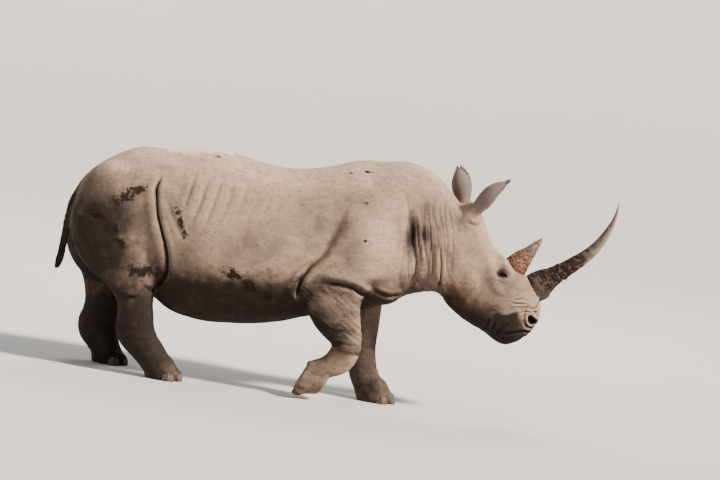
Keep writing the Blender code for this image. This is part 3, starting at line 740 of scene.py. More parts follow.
def lattice(cells, seed):
    """An even random number from -1 to 1 for each cell of a grid, by mixing its whole numbers."""
    x, y, z = (cells[:, i].astype(np.uint64) for i in range(3))
    mixed = x * np.uint64(374761393) + y * np.uint64(668265263) + z * np.uint64(2246822519)
    mixed += np.uint64(seed * 3266489917)
    mixed = (mixed ^ (mixed >> np.uint64(15))) * np.uint64(2654435761)
    mixed ^= mixed >> np.uint64(13)
    return (mixed & np.uint64(0xFFFF)).astype(float) / 32767.5 - 1.0


def noise(points, seed):
    """Smooth noise from about -1 to 1, whose lumps are about one unit across."""
    base = np.floor(points)
    t = points - base
    t = t * t * t * (t * (t * 6 - 15) + 10)
    base = base.astype(np.int64) + NOISE_HALF
    total = np.zeros(len(points))
    for corner in range(8):
        step = np.array([corner & 1, corner >> 1 & 1, corner >> 2 & 1])
        weight = np.prod(np.where(step, t, 1 - t), axis=1)
        total += weight * lattice(base + step, seed)
    return total


def ridges(points, seed, sharpness=7.0):
    """Noise with sharp valleys and flat backs, from -1 in the valleys to 0."""
    return -np.exp(-np.abs(noise(points, seed)) * sharpness)


# ======== modelling the skin
ON_HEAD = (0.92, 1.02)  # the stretch of X over which the neck's looks give way to the head's
ABOVE_FEET = (0.42, 0.62)  # the stretch of Z over which the legs' rings of wrinkles end


class Clay:
    """The skin's points, with what the modelling has left in them for the material to show."""

    def __init__(self, mesh):
        self.mesh = mesh
        self.points = points_of(mesh)
        # Painted shade for the creases, grooves, lids and nostrils.
        self.crease_shade = np.zeros(len(self.points))
        self.renew()

    def renew(self):
        set_points(self.mesh, self.points)
        self.normals = normals_of(self.mesh)
        self.head = head_frame(self.points)
        self.outward = self.normals @ HEAD_INVERSE[:3, :3].T

    def weather(self):
        """Noise that breaks up the marks' edges: soft clouds, and the same with a fine grain."""
        self.cloud = 0.12 * noise(self.points * 3.2, 61) + 0.06 * noise(self.points * 9, 62)
        self.ragged = 0.25 * self.cloud + 0.007 * noise(self.points * 21, 63)

    def push(self, which, amount):
        self.points[which] += self.normals[which] * amount[:, None]

    # Painted shade: each point keeps the darkest mark it is given.
    def paint_shade(self, which, mark):
        self.crease_shade[which] = np.maximum(self.crease_shade[which], mark)

    def groove(self, share, places, seed, deep, paint_shade):
        """Presses sharp grooves where a noise crosses zero, and darkens them with painted shade."""
        grooves = ridges(places, seed)
        self.push(slice(None), share * deep * (grooves + 0.25))
        self.paint_shade(slice(None), -paint_shade * share * grooves)


def press_fold(clay, in_head, route, width, depth, rolls, ends, left=(0.0, 0.0)):
    """Presses a fold into both sides of the body or the head along a route seen from the side."""
    places = clay.head if in_head else clay.points
    facing = clay.outward if in_head else clay.normals
    widest = max(width)
    for side in SIDES.values():
        line = curve_through(route, FOLD_POINTS) + (np.array(left) if side > 0 else 0.0)
        low, high = line.min(axis=0) - FOLD_REACH * widest, line.max(axis=0) + FOLD_REACH * widest
        flat = places[:, [0, 2]]
        near = np.all((flat > low) & (flat < high), axis=1) & (side * places[:, 1] > 0.02)
        near = np.flatnonzero(near & (side * facing[:, 1] > 0.05))
        gaps = flat[near][:, None, :] - line[None]
        closest = np.argmin(np.sum(gaps**2, axis=2), axis=1)
        tangents = unit_rows(np.gradient(line, axis=0))
        gap = gaps[np.arange(len(near)), closest]
        tangent = tangents[closest]
        off = tangent[:, 0] * gap[:, 1] - tangent[:, 1] * gap[:, 0]
        off += FOLD_WOBBLE * min(widest, 0.02) * noise(places[near] * 22, 5)
        past = np.abs(np.sum(tangent * gap, axis=1))
        along = closest / (len(line) - 1)
        wide = width[0] + (width[1] - width[0]) * along
        deep = depth[0] + (depth[1] - depth[0]) * along
        fade = smoothstep(0, ends[0], along) * smoothstep(0, ends[1], 1 - along) * bell(past, wide)
        fade *= smoothstep(0.05, 0.4, side * facing[near, 1])
        height = -deep * bell(off, wide)
        for way, (tall, broad) in zip((1, -1), rolls):
            height += tall * bell(way * off - (1.0 + broad) * wide, broad * wide)
        clay.push(near, fade * height)
        # Painted shade along the groove, full where it is steep.
        mark = fade * bell(off, 0.9 * wide) * np.minimum(1.0, deep / wide / FOLD_STEEPEST)
        clay.paint_shade(near, mark)


def press_forms(clay):
    """Muscle and bone that show through the skin on both sides."""
    x, _, z = clay.points.T
    facing = smoothstep(0.2, 0.7, np.abs(clay.normals[:, 1]))
    height = np.zeros(len(x))
    for at, reach, tall in FORMS:
        height += tall * mound(x, z, at, reach)
    clay.push(slice(None), height * facing)


def press_ribs(clay):
    """Shallow grooves between the ribs, which fade towards the shoulder and the belly."""
    x, y, z = clay.points.T
    drift = RIB_DRIFT * noise(clay.points * 4, 21)
    slid = x - RIB_LEAN * (z - RIB_LEVEL)
    turn = (slid - RIB_START) / RIB_STEP + drift
    ribbed = within(turn, -0.7, -0.1, RIB_FADING, RIB_COUNT)
    height, varied, faded = RIB_LOW
    low = height + varied * noise(columns(turn, 0 * y, 0 * z), 22)
    level = within(z, low, low + faded, *RIB_HIGH)
    wave = np.cos(2 * math.pi * turn)
    sharp = -np.exp(1.5 * (wave - 1))
    fade = ribbed * level * (0.35 + 0.65 * smoothstep(RIB_FADING, 1.0, turn))
    clay.push(slice(None), RIB_DEPTH * fade * (sharp + 0.35))
    # Painted shade in the grooves between the ribs.
    clay.paint_shade(slice(None), -RIB_SHADE * fade * sharp)


def press_wrinkles(clay):
    """Wrinkles by region, each as a share of the skin and the places at which its noise is read."""
    x, y, z = clay.points.T
    u, v, w = clay.head.T
    wobble = noise(clay.points * 5, 3)
    wiggle = noise(clay.points * 17, 4)
    # Upright wrinkles on the neck.
    neck = within(x, 0.40, 0.62, 0.86, 0.98) * (1 - 0.8 * smoothstep(1.38, 1.55, z))
    lean = x + 0.16 * (z - 1.1) + 0.012 * wobble + 0.0035 * wiggle
    for step, *look in WRINKLES["neck"]:
        clay.groove(neck, columns(lean * step, y * 3, z * step * NECK_LONG), *look)
    # Rings round the legs.
    legs = 1 - smoothstep(*ABOVE_FEET, z)
    for step, *look in WRINKLES["legs"]:
        level = z * step + 0.5 * wobble + 0.2 * wiggle
        clay.groove(legs, columns(x * step * LEG_LONG, y * step * LEG_LONG, level), *look)
    # Slanting wrinkles on the upper arms.
    arm = within(x, -0.16, -0.06, 0.36, 0.46)
    arm *= within(z, 0.36, 0.50, 0.78, 0.86)
    across = z + ARM_SLANT * x + 0.006 * wobble + 0.003 * wiggle
    for step, *look in WRINKLES["arm"]:
        slanted = columns((x - ARM_SLANT * z) * step * ARM_LONG, y * step * ARM_LONG, across * step)
        clay.groove(arm, slanted, *look)
    # The muzzle's, across the lips.
    muzzle = smoothstep(0.50, 0.66, u) * smoothstep(*ON_HEAD, x)
    cos, sin = MUZZLE_SLANT
    for step, *look in WRINKLES["muzzle"]:
        across = (u * cos - w * sin) * step + 1.2 * wiggle
        clay.groove(muzzle, columns(across, v * 8, (u * sin + w * cos) * 11), *look)
    # The cheeks'.
    cheek = within(u, 0.10, 0.25, 0.50, 0.66) * smoothstep(*ON_HEAD, x)
    for step, *look in WRINKLES["cheek"]:
        clay.groove(cheek, columns((u + 0.4 * w) * step + 1.3 * wobble, v * 6, w * 9), *look)
    # Level rows on the flanks, where they don't face down.
    flank = (1 - smoothstep(0.30, 0.50, x)) * smoothstep(0.40, 0.60, z)
    flank *= smoothstep(-0.45, -0.05, clay.normals[:, 2])
    for step, *look in WRINKLES["flank"]:
        level = (z - 0.06 * x) * step + 0.8 * wobble + 0.4 * wiggle
        clay.groove(flank, columns(x * 9 + wobble, y * 9, level), *look)
    # Pebbles on the shoulders, and low lumps all over.
    shoulder = within(x, -0.05, 0.15, 0.9, 1.0) * smoothstep(0.7, 0.85, z)
    for step, *look in WRINKLES["shoulder"]:
        clay.groove(shoulder, clay.points * step + 0.4 * wiggle[:, None], *look)
    lumps = sum(noise(clay.points * step, seed) * tall for step, seed, tall in LUMPS)
    clay.push(slice(None), lumps * (1 - 0.6 * smoothstep(1.0, 1.2, x)))


def face_spot(clay, at, side):
    """A point of the face's surface and the way it faces, from where it is seen from the side."""
    u, v, w = clay.head.T
    near = (np.abs(u - at[0]) < 0.012) & (np.abs(w - at[1]) < 0.012) & (side * v > 0.04)
    near &= side * clay.outward[:, 1] > 0.2
    middle = clay.points[near].mean(axis=0)
    out = clay.normals[near].mean(axis=0)
    return middle, out / np.linalg.norm(out)


def spot_axes(out, turn, side):
    """Axes in the surface at a spot: along the head, leaning up by the turn, and square to that."""
    turned = np.array([math.cos(turn), 0.0, math.sin(turn)])
    along = turned @ np.array(HEAD_TURN)[:3, :3].T
    along -= out * (along @ out)
    along /= np.linalg.norm(along)
    up = np.cross(along, out) * -side
    return along, up


def spot_frame(clay, at, side, turn, reach):
    """The skin near a spot, with its places along and up from the spot, and the spot's own frame."""
    middle, out = face_spot(clay, at, side)
    along, up = spot_axes(out, turn, side)
    offset = clay.points - middle
    near = np.flatnonzero(np.linalg.norm(offset, axis=1) < reach)
    offset = offset[near]
    return near, offset @ along, offset @ up, middle, out, along, up


def press_eye(clay, side):
    """Opens the lids, and lays rims and folds of skin round them. Gives the eyeball's middle."""
    long, high = EYE_HALF
    at = (EYE_AT[0], EYE_AT[2])
    near, a, b, middle, out, along, up = spot_frame(clay, at, side, EYE_TURN, EYE_AROUND)
    narrow = high * np.maximum(0.3, 1 - 0.55 * (a / long) ** 2)
    ring = np.where(np.abs(a) > long, oval(a, b, long, high) + 0.1, oval(a, b, long, narrow))
    wobble = 0.22 * noise(clay.points[near] * 38, 51)
    wide = oval(a, b, long, high * 1.3) + wobble
    turn = np.degrees(np.arctan2(b, a))
    below = bell((turn + 115 + 180) % 360 - 180, 62)
    above = bell(turn - 78, 58)
    height = LID_HEIGHT * bell(ring - 1.38, 0.36) * (0.7 + 0.5 * smoothstep(-0.4, 0.6, b / high))
    mark = np.zeros(len(near))
    for folds, share, gap in ((EYE_UNDER, below, 0.17), (EYE_OVER, above, 0.24)):
        for count, place in enumerate(folds):
            fade = share * (1 - 0.13 * count)
            height -= EYE_FOLD[0] * fade * bell(wide - place, gap)
            height += EYE_FOLD[1] * fade * bell(wide - place - 2.1 * gap, 1.3 * gap)
            # Painted shade in the folds round the eye.
            mark = np.maximum(mark, 0.75 * fade * bell(wide - place, 0.9 * gap))
    height += BROW_HEIGHT * above * bell(wide - 2.6, 1.3)
    height -= SOCKET_DEPTH * bell(wide - 1.0, 1.5)
    height -= EYE_DEPTH * (1 - smoothstep(0.86, 1.08, ring))
    clay.points[near] += out * height[:, None]
    # Painted shade: a ring of dark lid skin and socket shade, and the brow's shadow behind the eye.
    rear = smoothstep(0.6, -1.2, a / long) * bell(wide - 1.3, 1.0)
    mark = np.maximum(mark, np.maximum(1 - smoothstep(1.15, 2.1, ring), 0.8 * rear))
    clay.paint_shade(near, mark)
    return middle - out * (EYE_BALL + EYE_SUNK), out, along, up


def press_nostril(clay, side):
    """A deep slanting hole with a raised wing over it."""
    long, high = NOSTRIL_HALF
    near, a, b, _, out, _, _ = spot_frame(clay, NOSTRIL_AT, side, NOSTRIL_TURN, NOSTRIL_AROUND)
    ring = oval(a, b + 0.25 * a**2 / long, long, high)
    height = NOSTRIL_WING * bell(ring - 1.45, 0.38)
    height -= 0.004 * bell(ring - 2.2, 0.35)
    height -= NOSTRIL_DEPTH * (1 - smoothstep(0.35, 1.08, ring))
    clay.points[near] += out * height[:, None]
    # Painted shade inside the nostril and in the groove round its wing.
    mark = np.maximum(1.0 - smoothstep(0.9, 1.2, ring), 0.4 * bell(ring - 2.2, 0.3))
    clay.paint_shade(near, mark)


def model_skin():
    """The skin with all its relief, and where the eyeballs sit in it."""
    mesh = skin_mesh()
    spots = []
    for side in SIDES.values():
        for (u, w), radii in (((EYE_AT[0], EYE_AT[2]), (0.11, 0.05)), (NOSTRIL_AT, (0.10,))):
            spots.append((head_matrix @ Vector((u, side * 0.13, w)), radii))
    refined(mesh, spots)
    clay = Clay(mesh)
    press_forms(clay)
    clay.renew()
    for fold in FOLDS.values():
        press_fold(clay, False, *fold)
    press_ribs(clay)
    clay.renew()
    press_wrinkles(clay)
    clay.renew()
    for fold in FACE_FOLDS.values():
        press_fold(clay, True, *fold)
    for (u, w), (du, dw) in MUZZLE_CREASES:
        wave = [MUZZLE_WAVE * math.sin(7 * t + u * 90) for t in MUZZLE_STEPS]
        run = [(u + du * t, w + dw * t + rise) for t, rise in zip(MUZZLE_STEPS, wave)]
        press_fold(clay, True, run, *MUZZLE_CREASE)
    clay.renew()
    balls = [press_eye(clay, side) for side in SIDES.values()]
    for side in SIDES.values():
        press_nostril(clay, side)
    clay.points[:, 2] = np.maximum(clay.points[:, 2], 0.0)
    clay.renew()
    return clay, balls


# ======== horns, eyes and nails
def horn_mesh(name):
    """A horn whose fibres run along it, rough and ringed at the root and smooth at the tip."""
    rows = np.array(HORNS[name])
    knots = lengths_along(rows[:, :2])
    rings, sides = HORN_RINGS[name], HORN_SIDES
    along = np.linspace(0, knots[-1], rings)
    spots = spline(knots, rows, along)
    ways = unit_rows(np.gradient(spots[:, :2], axis=0))
    angles = np.linspace(0, 2 * math.pi, sides, endpoint=False)
    forward = columns(ways[:, 1], np.zeros(rings), -ways[:, 0])
    middle = columns(spots[:, 0], np.zeros(rings), spots[:, 1])
    fore = forward[:, None] * (spots[:, 2, None] * np.cos(angles))[..., None]
    side = np.array([0, 1.0, 0]) * (spots[:, 3, None] * np.sin(angles))[..., None]
    points = (middle[:, None] + fore + side).reshape(-1, 3)
    spin = np.tile(angles, rings)
    run = np.repeat(along, sides)
    share = np.repeat(along / knots[-1], sides)
    root = 1 - smoothstep(0.05, 0.62, share)
    caked = 1 - smoothstep(0.42, 0.60, share)

    def relief(around, up, seed, tall):
        return tall * noise(columns(np.cos(spin) * around, np.sin(spin) * around, run * up), seed)

    height = root * relief(*HORN_GROWTH) + root * relief(*HORN_LUMPS) - HORN_SUNK * root
    height += caked * np.maximum(0, relief(*HORN_CLODS)) + (0.25 + 0.75 * root) * relief(*HORN_FIBRES)
    thin = np.minimum(1.0, np.repeat(spots[:, 2], sides) / 0.03)
    out = unit_rows(points - np.repeat(middle, sides, axis=0))
    points = points + out * (height * thin)[:, None]
    ends = [tuple(range(sides))[::-1], tuple(range((rings - 1) * sides, rings * sides))]
    mesh = mesh_from(name, points.tolist(), tube_walls(rings, sides) + ends)
    away, back = Matrix.Translation(-HEAD_AT), Matrix.Translation(HEAD_AT)
    mesh.transform(back @ Matrix.Rotation(HORN_YAW, 4, "Z") @ away)
    keep(mesh, "share", share)
    keep(mesh, "under", 0.5 - 0.5 * np.cos(spin + math.pi))
    return mesh


def keep(mesh, name, values):
    """Stores one number for each point, for a material to read."""
    layer = mesh.attributes.new(name, "FLOAT", "POINT")
    layer.data.foreach_set("value", np.asarray(values, dtype=np.float32))


def nail_mesh(name):
    """A nail's solid, rounded, with faint growth lines."""
    mesh = remeshed([solid_of(name)], NAIL_VOXEL)
    points = faired(points_of(mesh), edges_of(mesh), np.full(len(mesh.vertices), 0.5), NAIL_ROUNDS)
    set_points(mesh, points)
    outward = normals_of(mesh)
    lines = noise(points * np.array([20, 20, 190]), 41)
    lumps = noise(points * 60, 42)
    points = points + outward * (NAIL_OUT + NAIL_LINES * lines + NAIL_LUMPS * lumps)[:, None]
    points[:, 2] = np.maximum(points[:, 2], 0)
    set_points(mesh, points)
    return mesh


def eye_mesh(spot, out, along, up):
    """An eyeball, turned so that its own Z axis looks out between the lids."""
    bm = bmesh.new()
    bmesh.ops.create_uvsphere(bm, u_segments=64, v_segments=48, radius=EYE_BALL)
    turn = Matrix((along, up, out)).transposed().to_4x4()
    bm.transform(Matrix.Translation(Vector(spot)) @ turn)
    mesh = mesh_of(bm, "eye")
    looks = (points_of(mesh) - np.array(spot)) @ np.array(out) / EYE_BALL
    keep(mesh, "look", np.degrees(np.arccos(np.clip(looks, -1, 1))))
    mesh.shade_smooth()
    return mesh


# ======== hair
class Hair:
    """Many tapered strands of three sides, each laid along its own bent path."""

    def __init__(self):
        self.points, self.faces, self.roots, self.tones = [], [], [], []

    def strand(self, path, thickness, root_uv, tone):
        """Adds one strand along a path, thickest a third of the way along it."""
        path = np.asarray(path)
        count = len(path)
        ways = unit_rows(np.gradient(path, axis=0))
        side = unit_rows(np.cross(ways, HAIR_ACROSS))
        third = np.cross(ways, side)
        t = np.linspace(0, 1, count)
        reach = thickness * np.clip(0.55 + 1.6 * t - 2.1 * t**2, 0.04, 1.0)
        start = sum(len(block) for block in self.points)
        turns = (corner * HAIR_TURN for corner in range(3))
        corners = [path + reach[:, None] * (side * math.cos(a) + third * math.sin(a)) for a in turns]
        self.points.append(np.stack(corners, axis=1).reshape(-1, 3))
        end = start + 3 * count
        self.faces += tube_walls(count, 3, start)
        self.faces += [(start, start + 2, start + 1), (end - 3, end - 2, end - 1)]
        self.roots += [root_uv] * (3 * count)
        self.tones += [tone] * (3 * count)

    def mesh(self, name):
        mesh = mesh_from(name, np.concatenate(self.points).tolist(), self.faces)
        corners = np.zeros(len(mesh.loops), dtype=np.int64)
        mesh.loops.foreach_get("vertex_index", corners)
        layer = mesh.uv_layers.new(name="OFBake")
        spin = corners % 3 * HAIR_TURN
        patch = columns(np.cos(spin), np.sin(spin)) * HAIR_PATCH
        layer.data.foreach_set("uv", (np.array(self.roots)[corners] + patch).ravel())
        keep(mesh, "tone", self.tones)
        mesh.shade_smooth()
        return mesh


def tuft_mesh(rng):
    """The tail's tuft: flattened locks that leave both sides of the tail's end and hang down."""
    hair = Hair()
    line = np.array(TAIL_LINE)
    for _ in range(TUFT_LOCKS):
        t = rng.uniform(0.0, 1.0) ** 0.5
        root = spline(np.linspace(0, 1, len(line)), line, [t])[0]
        angle = rng.uniform(0, 2 * math.pi)
        out = np.array([math.cos(angle) * TUFT_SPREAD[0], math.sin(angle) * TUFT_SPREAD[1], 0.0])
        length = (TUFT_LENGTH[0] + TUFT_LENGTH[1] * t) * rng.uniform(0.75, 1.15)
        end = np.array(TUFT_END) + np.array([*(rng.normal(0, stray) for stray in TUFT_STRAY), 0.0])
        for _ in range(TUFT_STRANDS):
            start = root + out * rng.uniform(*TUFT_ROOTS)
            drop = end - start
            drop *= min(1.0, length / np.linalg.norm(drop))
            steps = np.linspace(0, 1, 7)[:, None]
            bulge = out * rng.uniform(*TUFT_BULGE) * np.sin(steps * math.pi)
            sway = rng.normal(0, TUFT_SWAY, 3) * np.sin(steps * 5)
            path = start + drop * steps + bulge + sway
            path[:, 2] = np.maximum(path[:, 2], TUFT_END[2] + rng.uniform(0, 0.01))
            u = 0.5 + angle / (2 * math.pi) * 0.45
            hair.strand(path, rng.uniform(*TUFT_THICKNESS), (u, 0.05 + 0.9 * t), rng.uniform(0, 1))
    return hair.mesh("tail_tuft_hair")


def fringe_mesh(name, rng):
    """Short hair along the rim of an ear, longest at its tip."""
    hair = Hair()
    _, axis, mouth, across, _, _ = ear_axes(name)
    for _ in range(FRINGE_LOCKS):
        t = 1 - FRINGE_RUN * rng.uniform(0, 1) ** 1.3
        opening = spline(EAR_PLACES, EAR_SECTIONS, [t])[0][1]
        side = rng.choice([-1, 1])
        edge = side * math.radians(180 - opening)
        root = ear_point(name, t, edge, FRINGE_SUNK)
        out = (across * math.sin(edge) - mouth * math.cos(edge)).normalized()
        reach = (FRINGE_LENGTH[0] + FRINGE_LENGTH[1] * smoothstep(0.4, 1.0, t)) * rng.uniform(0.6, 1.1)
        way = (axis * 0.75 + out * 0.45 + mouth * rng.uniform(-0.15, 0.25)).normalized()
        for _ in range(FRINGE_STRANDS):
            stray = Vector(rng.normal(0, FRINGE_STRAY, 3))
            lean = (way + Vector(rng.normal(0, FRINGE_LEAN, 3))).normalized()
            steps = np.linspace(0, 1, 5)[:, None]
            curl = np.array(axis) * 0.25 * reach * steps**2
            path = np.array(root + stray) + np.array(lean) * reach * steps + curl
            spot = (0.5 + 0.4 * side * t, t)
            hair.strand(path, rng.uniform(*FRINGE_THICKNESS), spot, rng.uniform(0, 1))
    return hair.mesh(name + "_fringe")


# ======== colours kept in the skin
def ear_share(clay):
    """How far each point is up an ear, from 0 on the head to 1, and how much it faces into its cup."""
    share = np.zeros(len(clay.points))
    inner = np.zeros(len(clay.points))
    for name in EAR_NODES:
        base, axis, mouth, _, length, _ = (np.array(value) for value in ear_axes(name))
        offset = clay.points - base
        along = offset @ axis / length
        off = np.linalg.norm(offset - np.outer(offset @ axis, axis), axis=1)
        near = smoothstep(0.02, 0.22, along) * (off < 0.085) * (along < 1.2)
        share = np.maximum(share, near)
        inner = np.maximum(inner, near * smoothstep(0.0, 0.5, clay.normals @ mouth))
    return share, inner


def mud_marks(clay):
    """Patches of dry mud. The left side's are moved and bent, so that the two sides differ."""
    x, y, z = clay.points.T
    mud = np.zeros(len(x))
    moved_x = x - np.where(y > 0, LEFT_MUD_AHEAD, 0.0) * (1 + np.sin(9 * z))
    moved_z = z + np.where(y > 0, LEFT_MUD_DOWN, 0.0)
    for (at_x, at_z), reach, lean in MUD:
        a, b = leaned(moved_x - at_x, moved_z - at_z, lean)
        mud = np.maximum(mud, mound(a, b, (0, 0), reach))
    return mud


def face_marks(clay):
    """Dark lips and chin with two lobes up the muzzle, partly wet muddy skin and partly painted shade, and
    painted socket shade with dark lid skin round the eyes.
    """
    u, _, w = clay.head.T
    # Lips and chin: partly wet muddy skin, partly painted shade.
    lip = w + 0.045 + np.maximum(0, 0.74 - u) + 1.6 * clay.ragged
    lip -= 0.050 * bell(u - 0.605, 0.032) + 0.080 * bell(u - 0.682, 0.034)
    chin = smoothstep(0.50, 0.62, u + clay.ragged) * smoothstep(0.060, -0.075, lip)
    # Round the eye and a little behind it: painted shade of the socket and the brow, over dark lid skin.
    a, b = leaned(u - EYE_AT[0] + 0.008, w - EYE_AT[2] - 0.004, EYE_TURN)
    socket = mound(a, b, (0, 0), (0.046, 0.030))
    return np.maximum(0.92 * chin, 0.80 * socket)


def dark_marks(clay, on_head):
    """Where the hide is darker, region by region: painted shade, painted shade mixed with dirt, and the
    skin's own darker parts.
    """
    x, y, z = clay.points.T
    u, _, w = clay.head.T
    up, cloud = clay.normals[:, 2], clay.cloud
    # Painted shade on the lower side of the head.
    jowl = smoothstep(-0.06, -0.29, w + 0.5 * clay.ragged) * smoothstep(0.05, 0.25, u)
    # Painted shade in the hollows of the neck.
    recess = mound(x, z, (0.605, 1.21), (0.050, 0.15))
    recess = np.maximum(recess, 0.7 * mound(x, z, (0.70, 1.23), (0.07, 0.075)))
    perineum = smoothstep(-1.52, -1.72, x + cloud) * (1 - smoothstep(0.95, 1.30, z))
    fore = within(x, -0.05, 0.05, 0.24, 0.36) * (1 - smoothstep(0.60, 0.80, z))
    # Painted shade on the far foreleg.
    far_fore = (1 - smoothstep(0.3, 0.80, z)) * smoothstep(0.0, 0.05, y) * smoothstep(0.15, 0.25, x)
    # Painted shade on the belly where it faces down.
    belly = smoothstep(0.36, -0.5, up + 0.9 * cloud) * (1 - smoothstep(0.68, 1.12, z)) * (z > 0.35)
    shades = {
        "face": on_head * face_marks(clay),
        "jowl": 0.66 * jowl * on_head,
        # Painted shade and dirt on the hind legs and the rump.
        "hind": (0.84 + cloud) * (1 - smoothstep(0.35, 1.32, z + cloud)) * smoothstep(-0.58, -0.85, x),
        "rump": (0.74 + cloud) * smoothstep(-0.98, -1.42, x) * (1 - smoothstep(1.10, 1.55, z)),
        "perineum": 0.62 * perineum,
        "tail": 0.85 * smoothstep(-1.735, -1.762, x) * smoothstep(0.060, 0.028, np.abs(y)),
        "recess": 0.84 * recess * np.where(y > 0, 0.5, 1.0),
        # Painted shade in a hollow of the neck behind the head.
        "hollow": 0.42 * mound(x, z, (0.76, 1.17), (0.06, 0.08)),
        "far_fore": 0.60 * far_fore,
        "fore": (0.40 + cloud) * fore,
        "belly": 0.80 * belly,
        # Painted shade under the elbow's fold.
        "elbow": 0.40 * mound(x, z, (0.02, 0.72), (0.09, 0.12)),
    }
    return np.max(list(shades.values()), axis=0)


def stain_and_reflection_marks(clay):
    """Where the hide is reddish brown, partly red dust and partly painted red reflected light on the
    undersides: low on the belly, the throat, the chest and the lifted wrist.
    """
    x, y, z = clay.points.T
    up, w = clay.normals[:, 2], clay.head[:, 2]
    # Surfaces that face down get the painted reflected light.
    low = smoothstep(0.0, -0.8, up) * (1 - smoothstep(0.70, 0.95, z)) * smoothstep(0.35, 0.6, z)
    throat = smoothstep(0.84, 0.94, x) * smoothstep(-0.20, -0.33, w) * smoothstep(0.2, -0.4, up)
    chest = mound(x, z, (0.52, 0.80), (0.14, 0.05))
    wrist = mound(x, z, (0.24, 0.38), (0.10, 0.10)) * (y < 0)
    return np.max([0.8 * low, throat, 0.8 * chest, 0.7 * wrist], axis=0)


def highlight_and_dust_marks(clay, on_head):
    """Where the hide is paler, from 0 to 1: a painted highlight on the top of the back and the front of the
    shoulder; over 1 where dust lies in a patch on the back.
    """
    x, y, z = clay.points.T
    up = clay.normals[:, 2]
    top_highlight = smoothstep(0.3, 0.9, up) * smoothstep(1.2, 1.5, z) * (1 - on_head)
    # Painted highlight on the front of the shoulder.
    front = 0.9 * mound(x, z, (0.40, 1.15), (0.12, 0.30))
    spread = oval(x - DUST_AT[0], y - DUST_AT[1], *DUST_REACH)
    spread += 0.30 * noise(clay.points * 9, 64) + 0.22 * noise(clay.points * 26, 65)
    dusty = smoothstep(1.15, 0.35, spread) * smoothstep(0.3, 0.8, up)
    return np.clip(np.maximum(top_highlight, front), 0, 1) + dusty


def mark_skin(clay):
    """Numbers that the hide's material turns into painted shade, painted highlight and painted reflected
    light, and into darker, redder, muddy and pale skin.
    """
    x, _, z = clay.points.T
    on_head = smoothstep(*ON_HEAD, x)
    clay.weather()
    ear, inner = ear_share(clay)
    upright = within(x, 0.34, 0.56, 0.86, 0.98) * smoothstep(0.7, 0.85, z)
    level = np.maximum(1 - smoothstep(0.40, 0.62, z), 0.8 * smoothstep(-0.5, -0.9, x))
    marks = {
        # Painted shade in the creases, grooves, lids and nostrils.
        "crease_shade": np.clip(clay.crease_shade, 0, 1),
        "mud": mud_marks(clay),
        # Painted shade and dirt.
        "dark": np.clip(dark_marks(clay, on_head), 0, 1),
        "stain_and_reflection": np.clip(stain_and_reflection_marks(clay), 0, 1),
        # Painted highlight, and dust on the back.
        "pale": highlight_and_dust_marks(clay, on_head),
        "ear": ear - 0.999 * inner,
        "cup": inner,
        "upright": upright,
        "face": on_head,
        "level": level,
    }
    for name, values in marks.items():
        keep(clay.mesh, name, values)


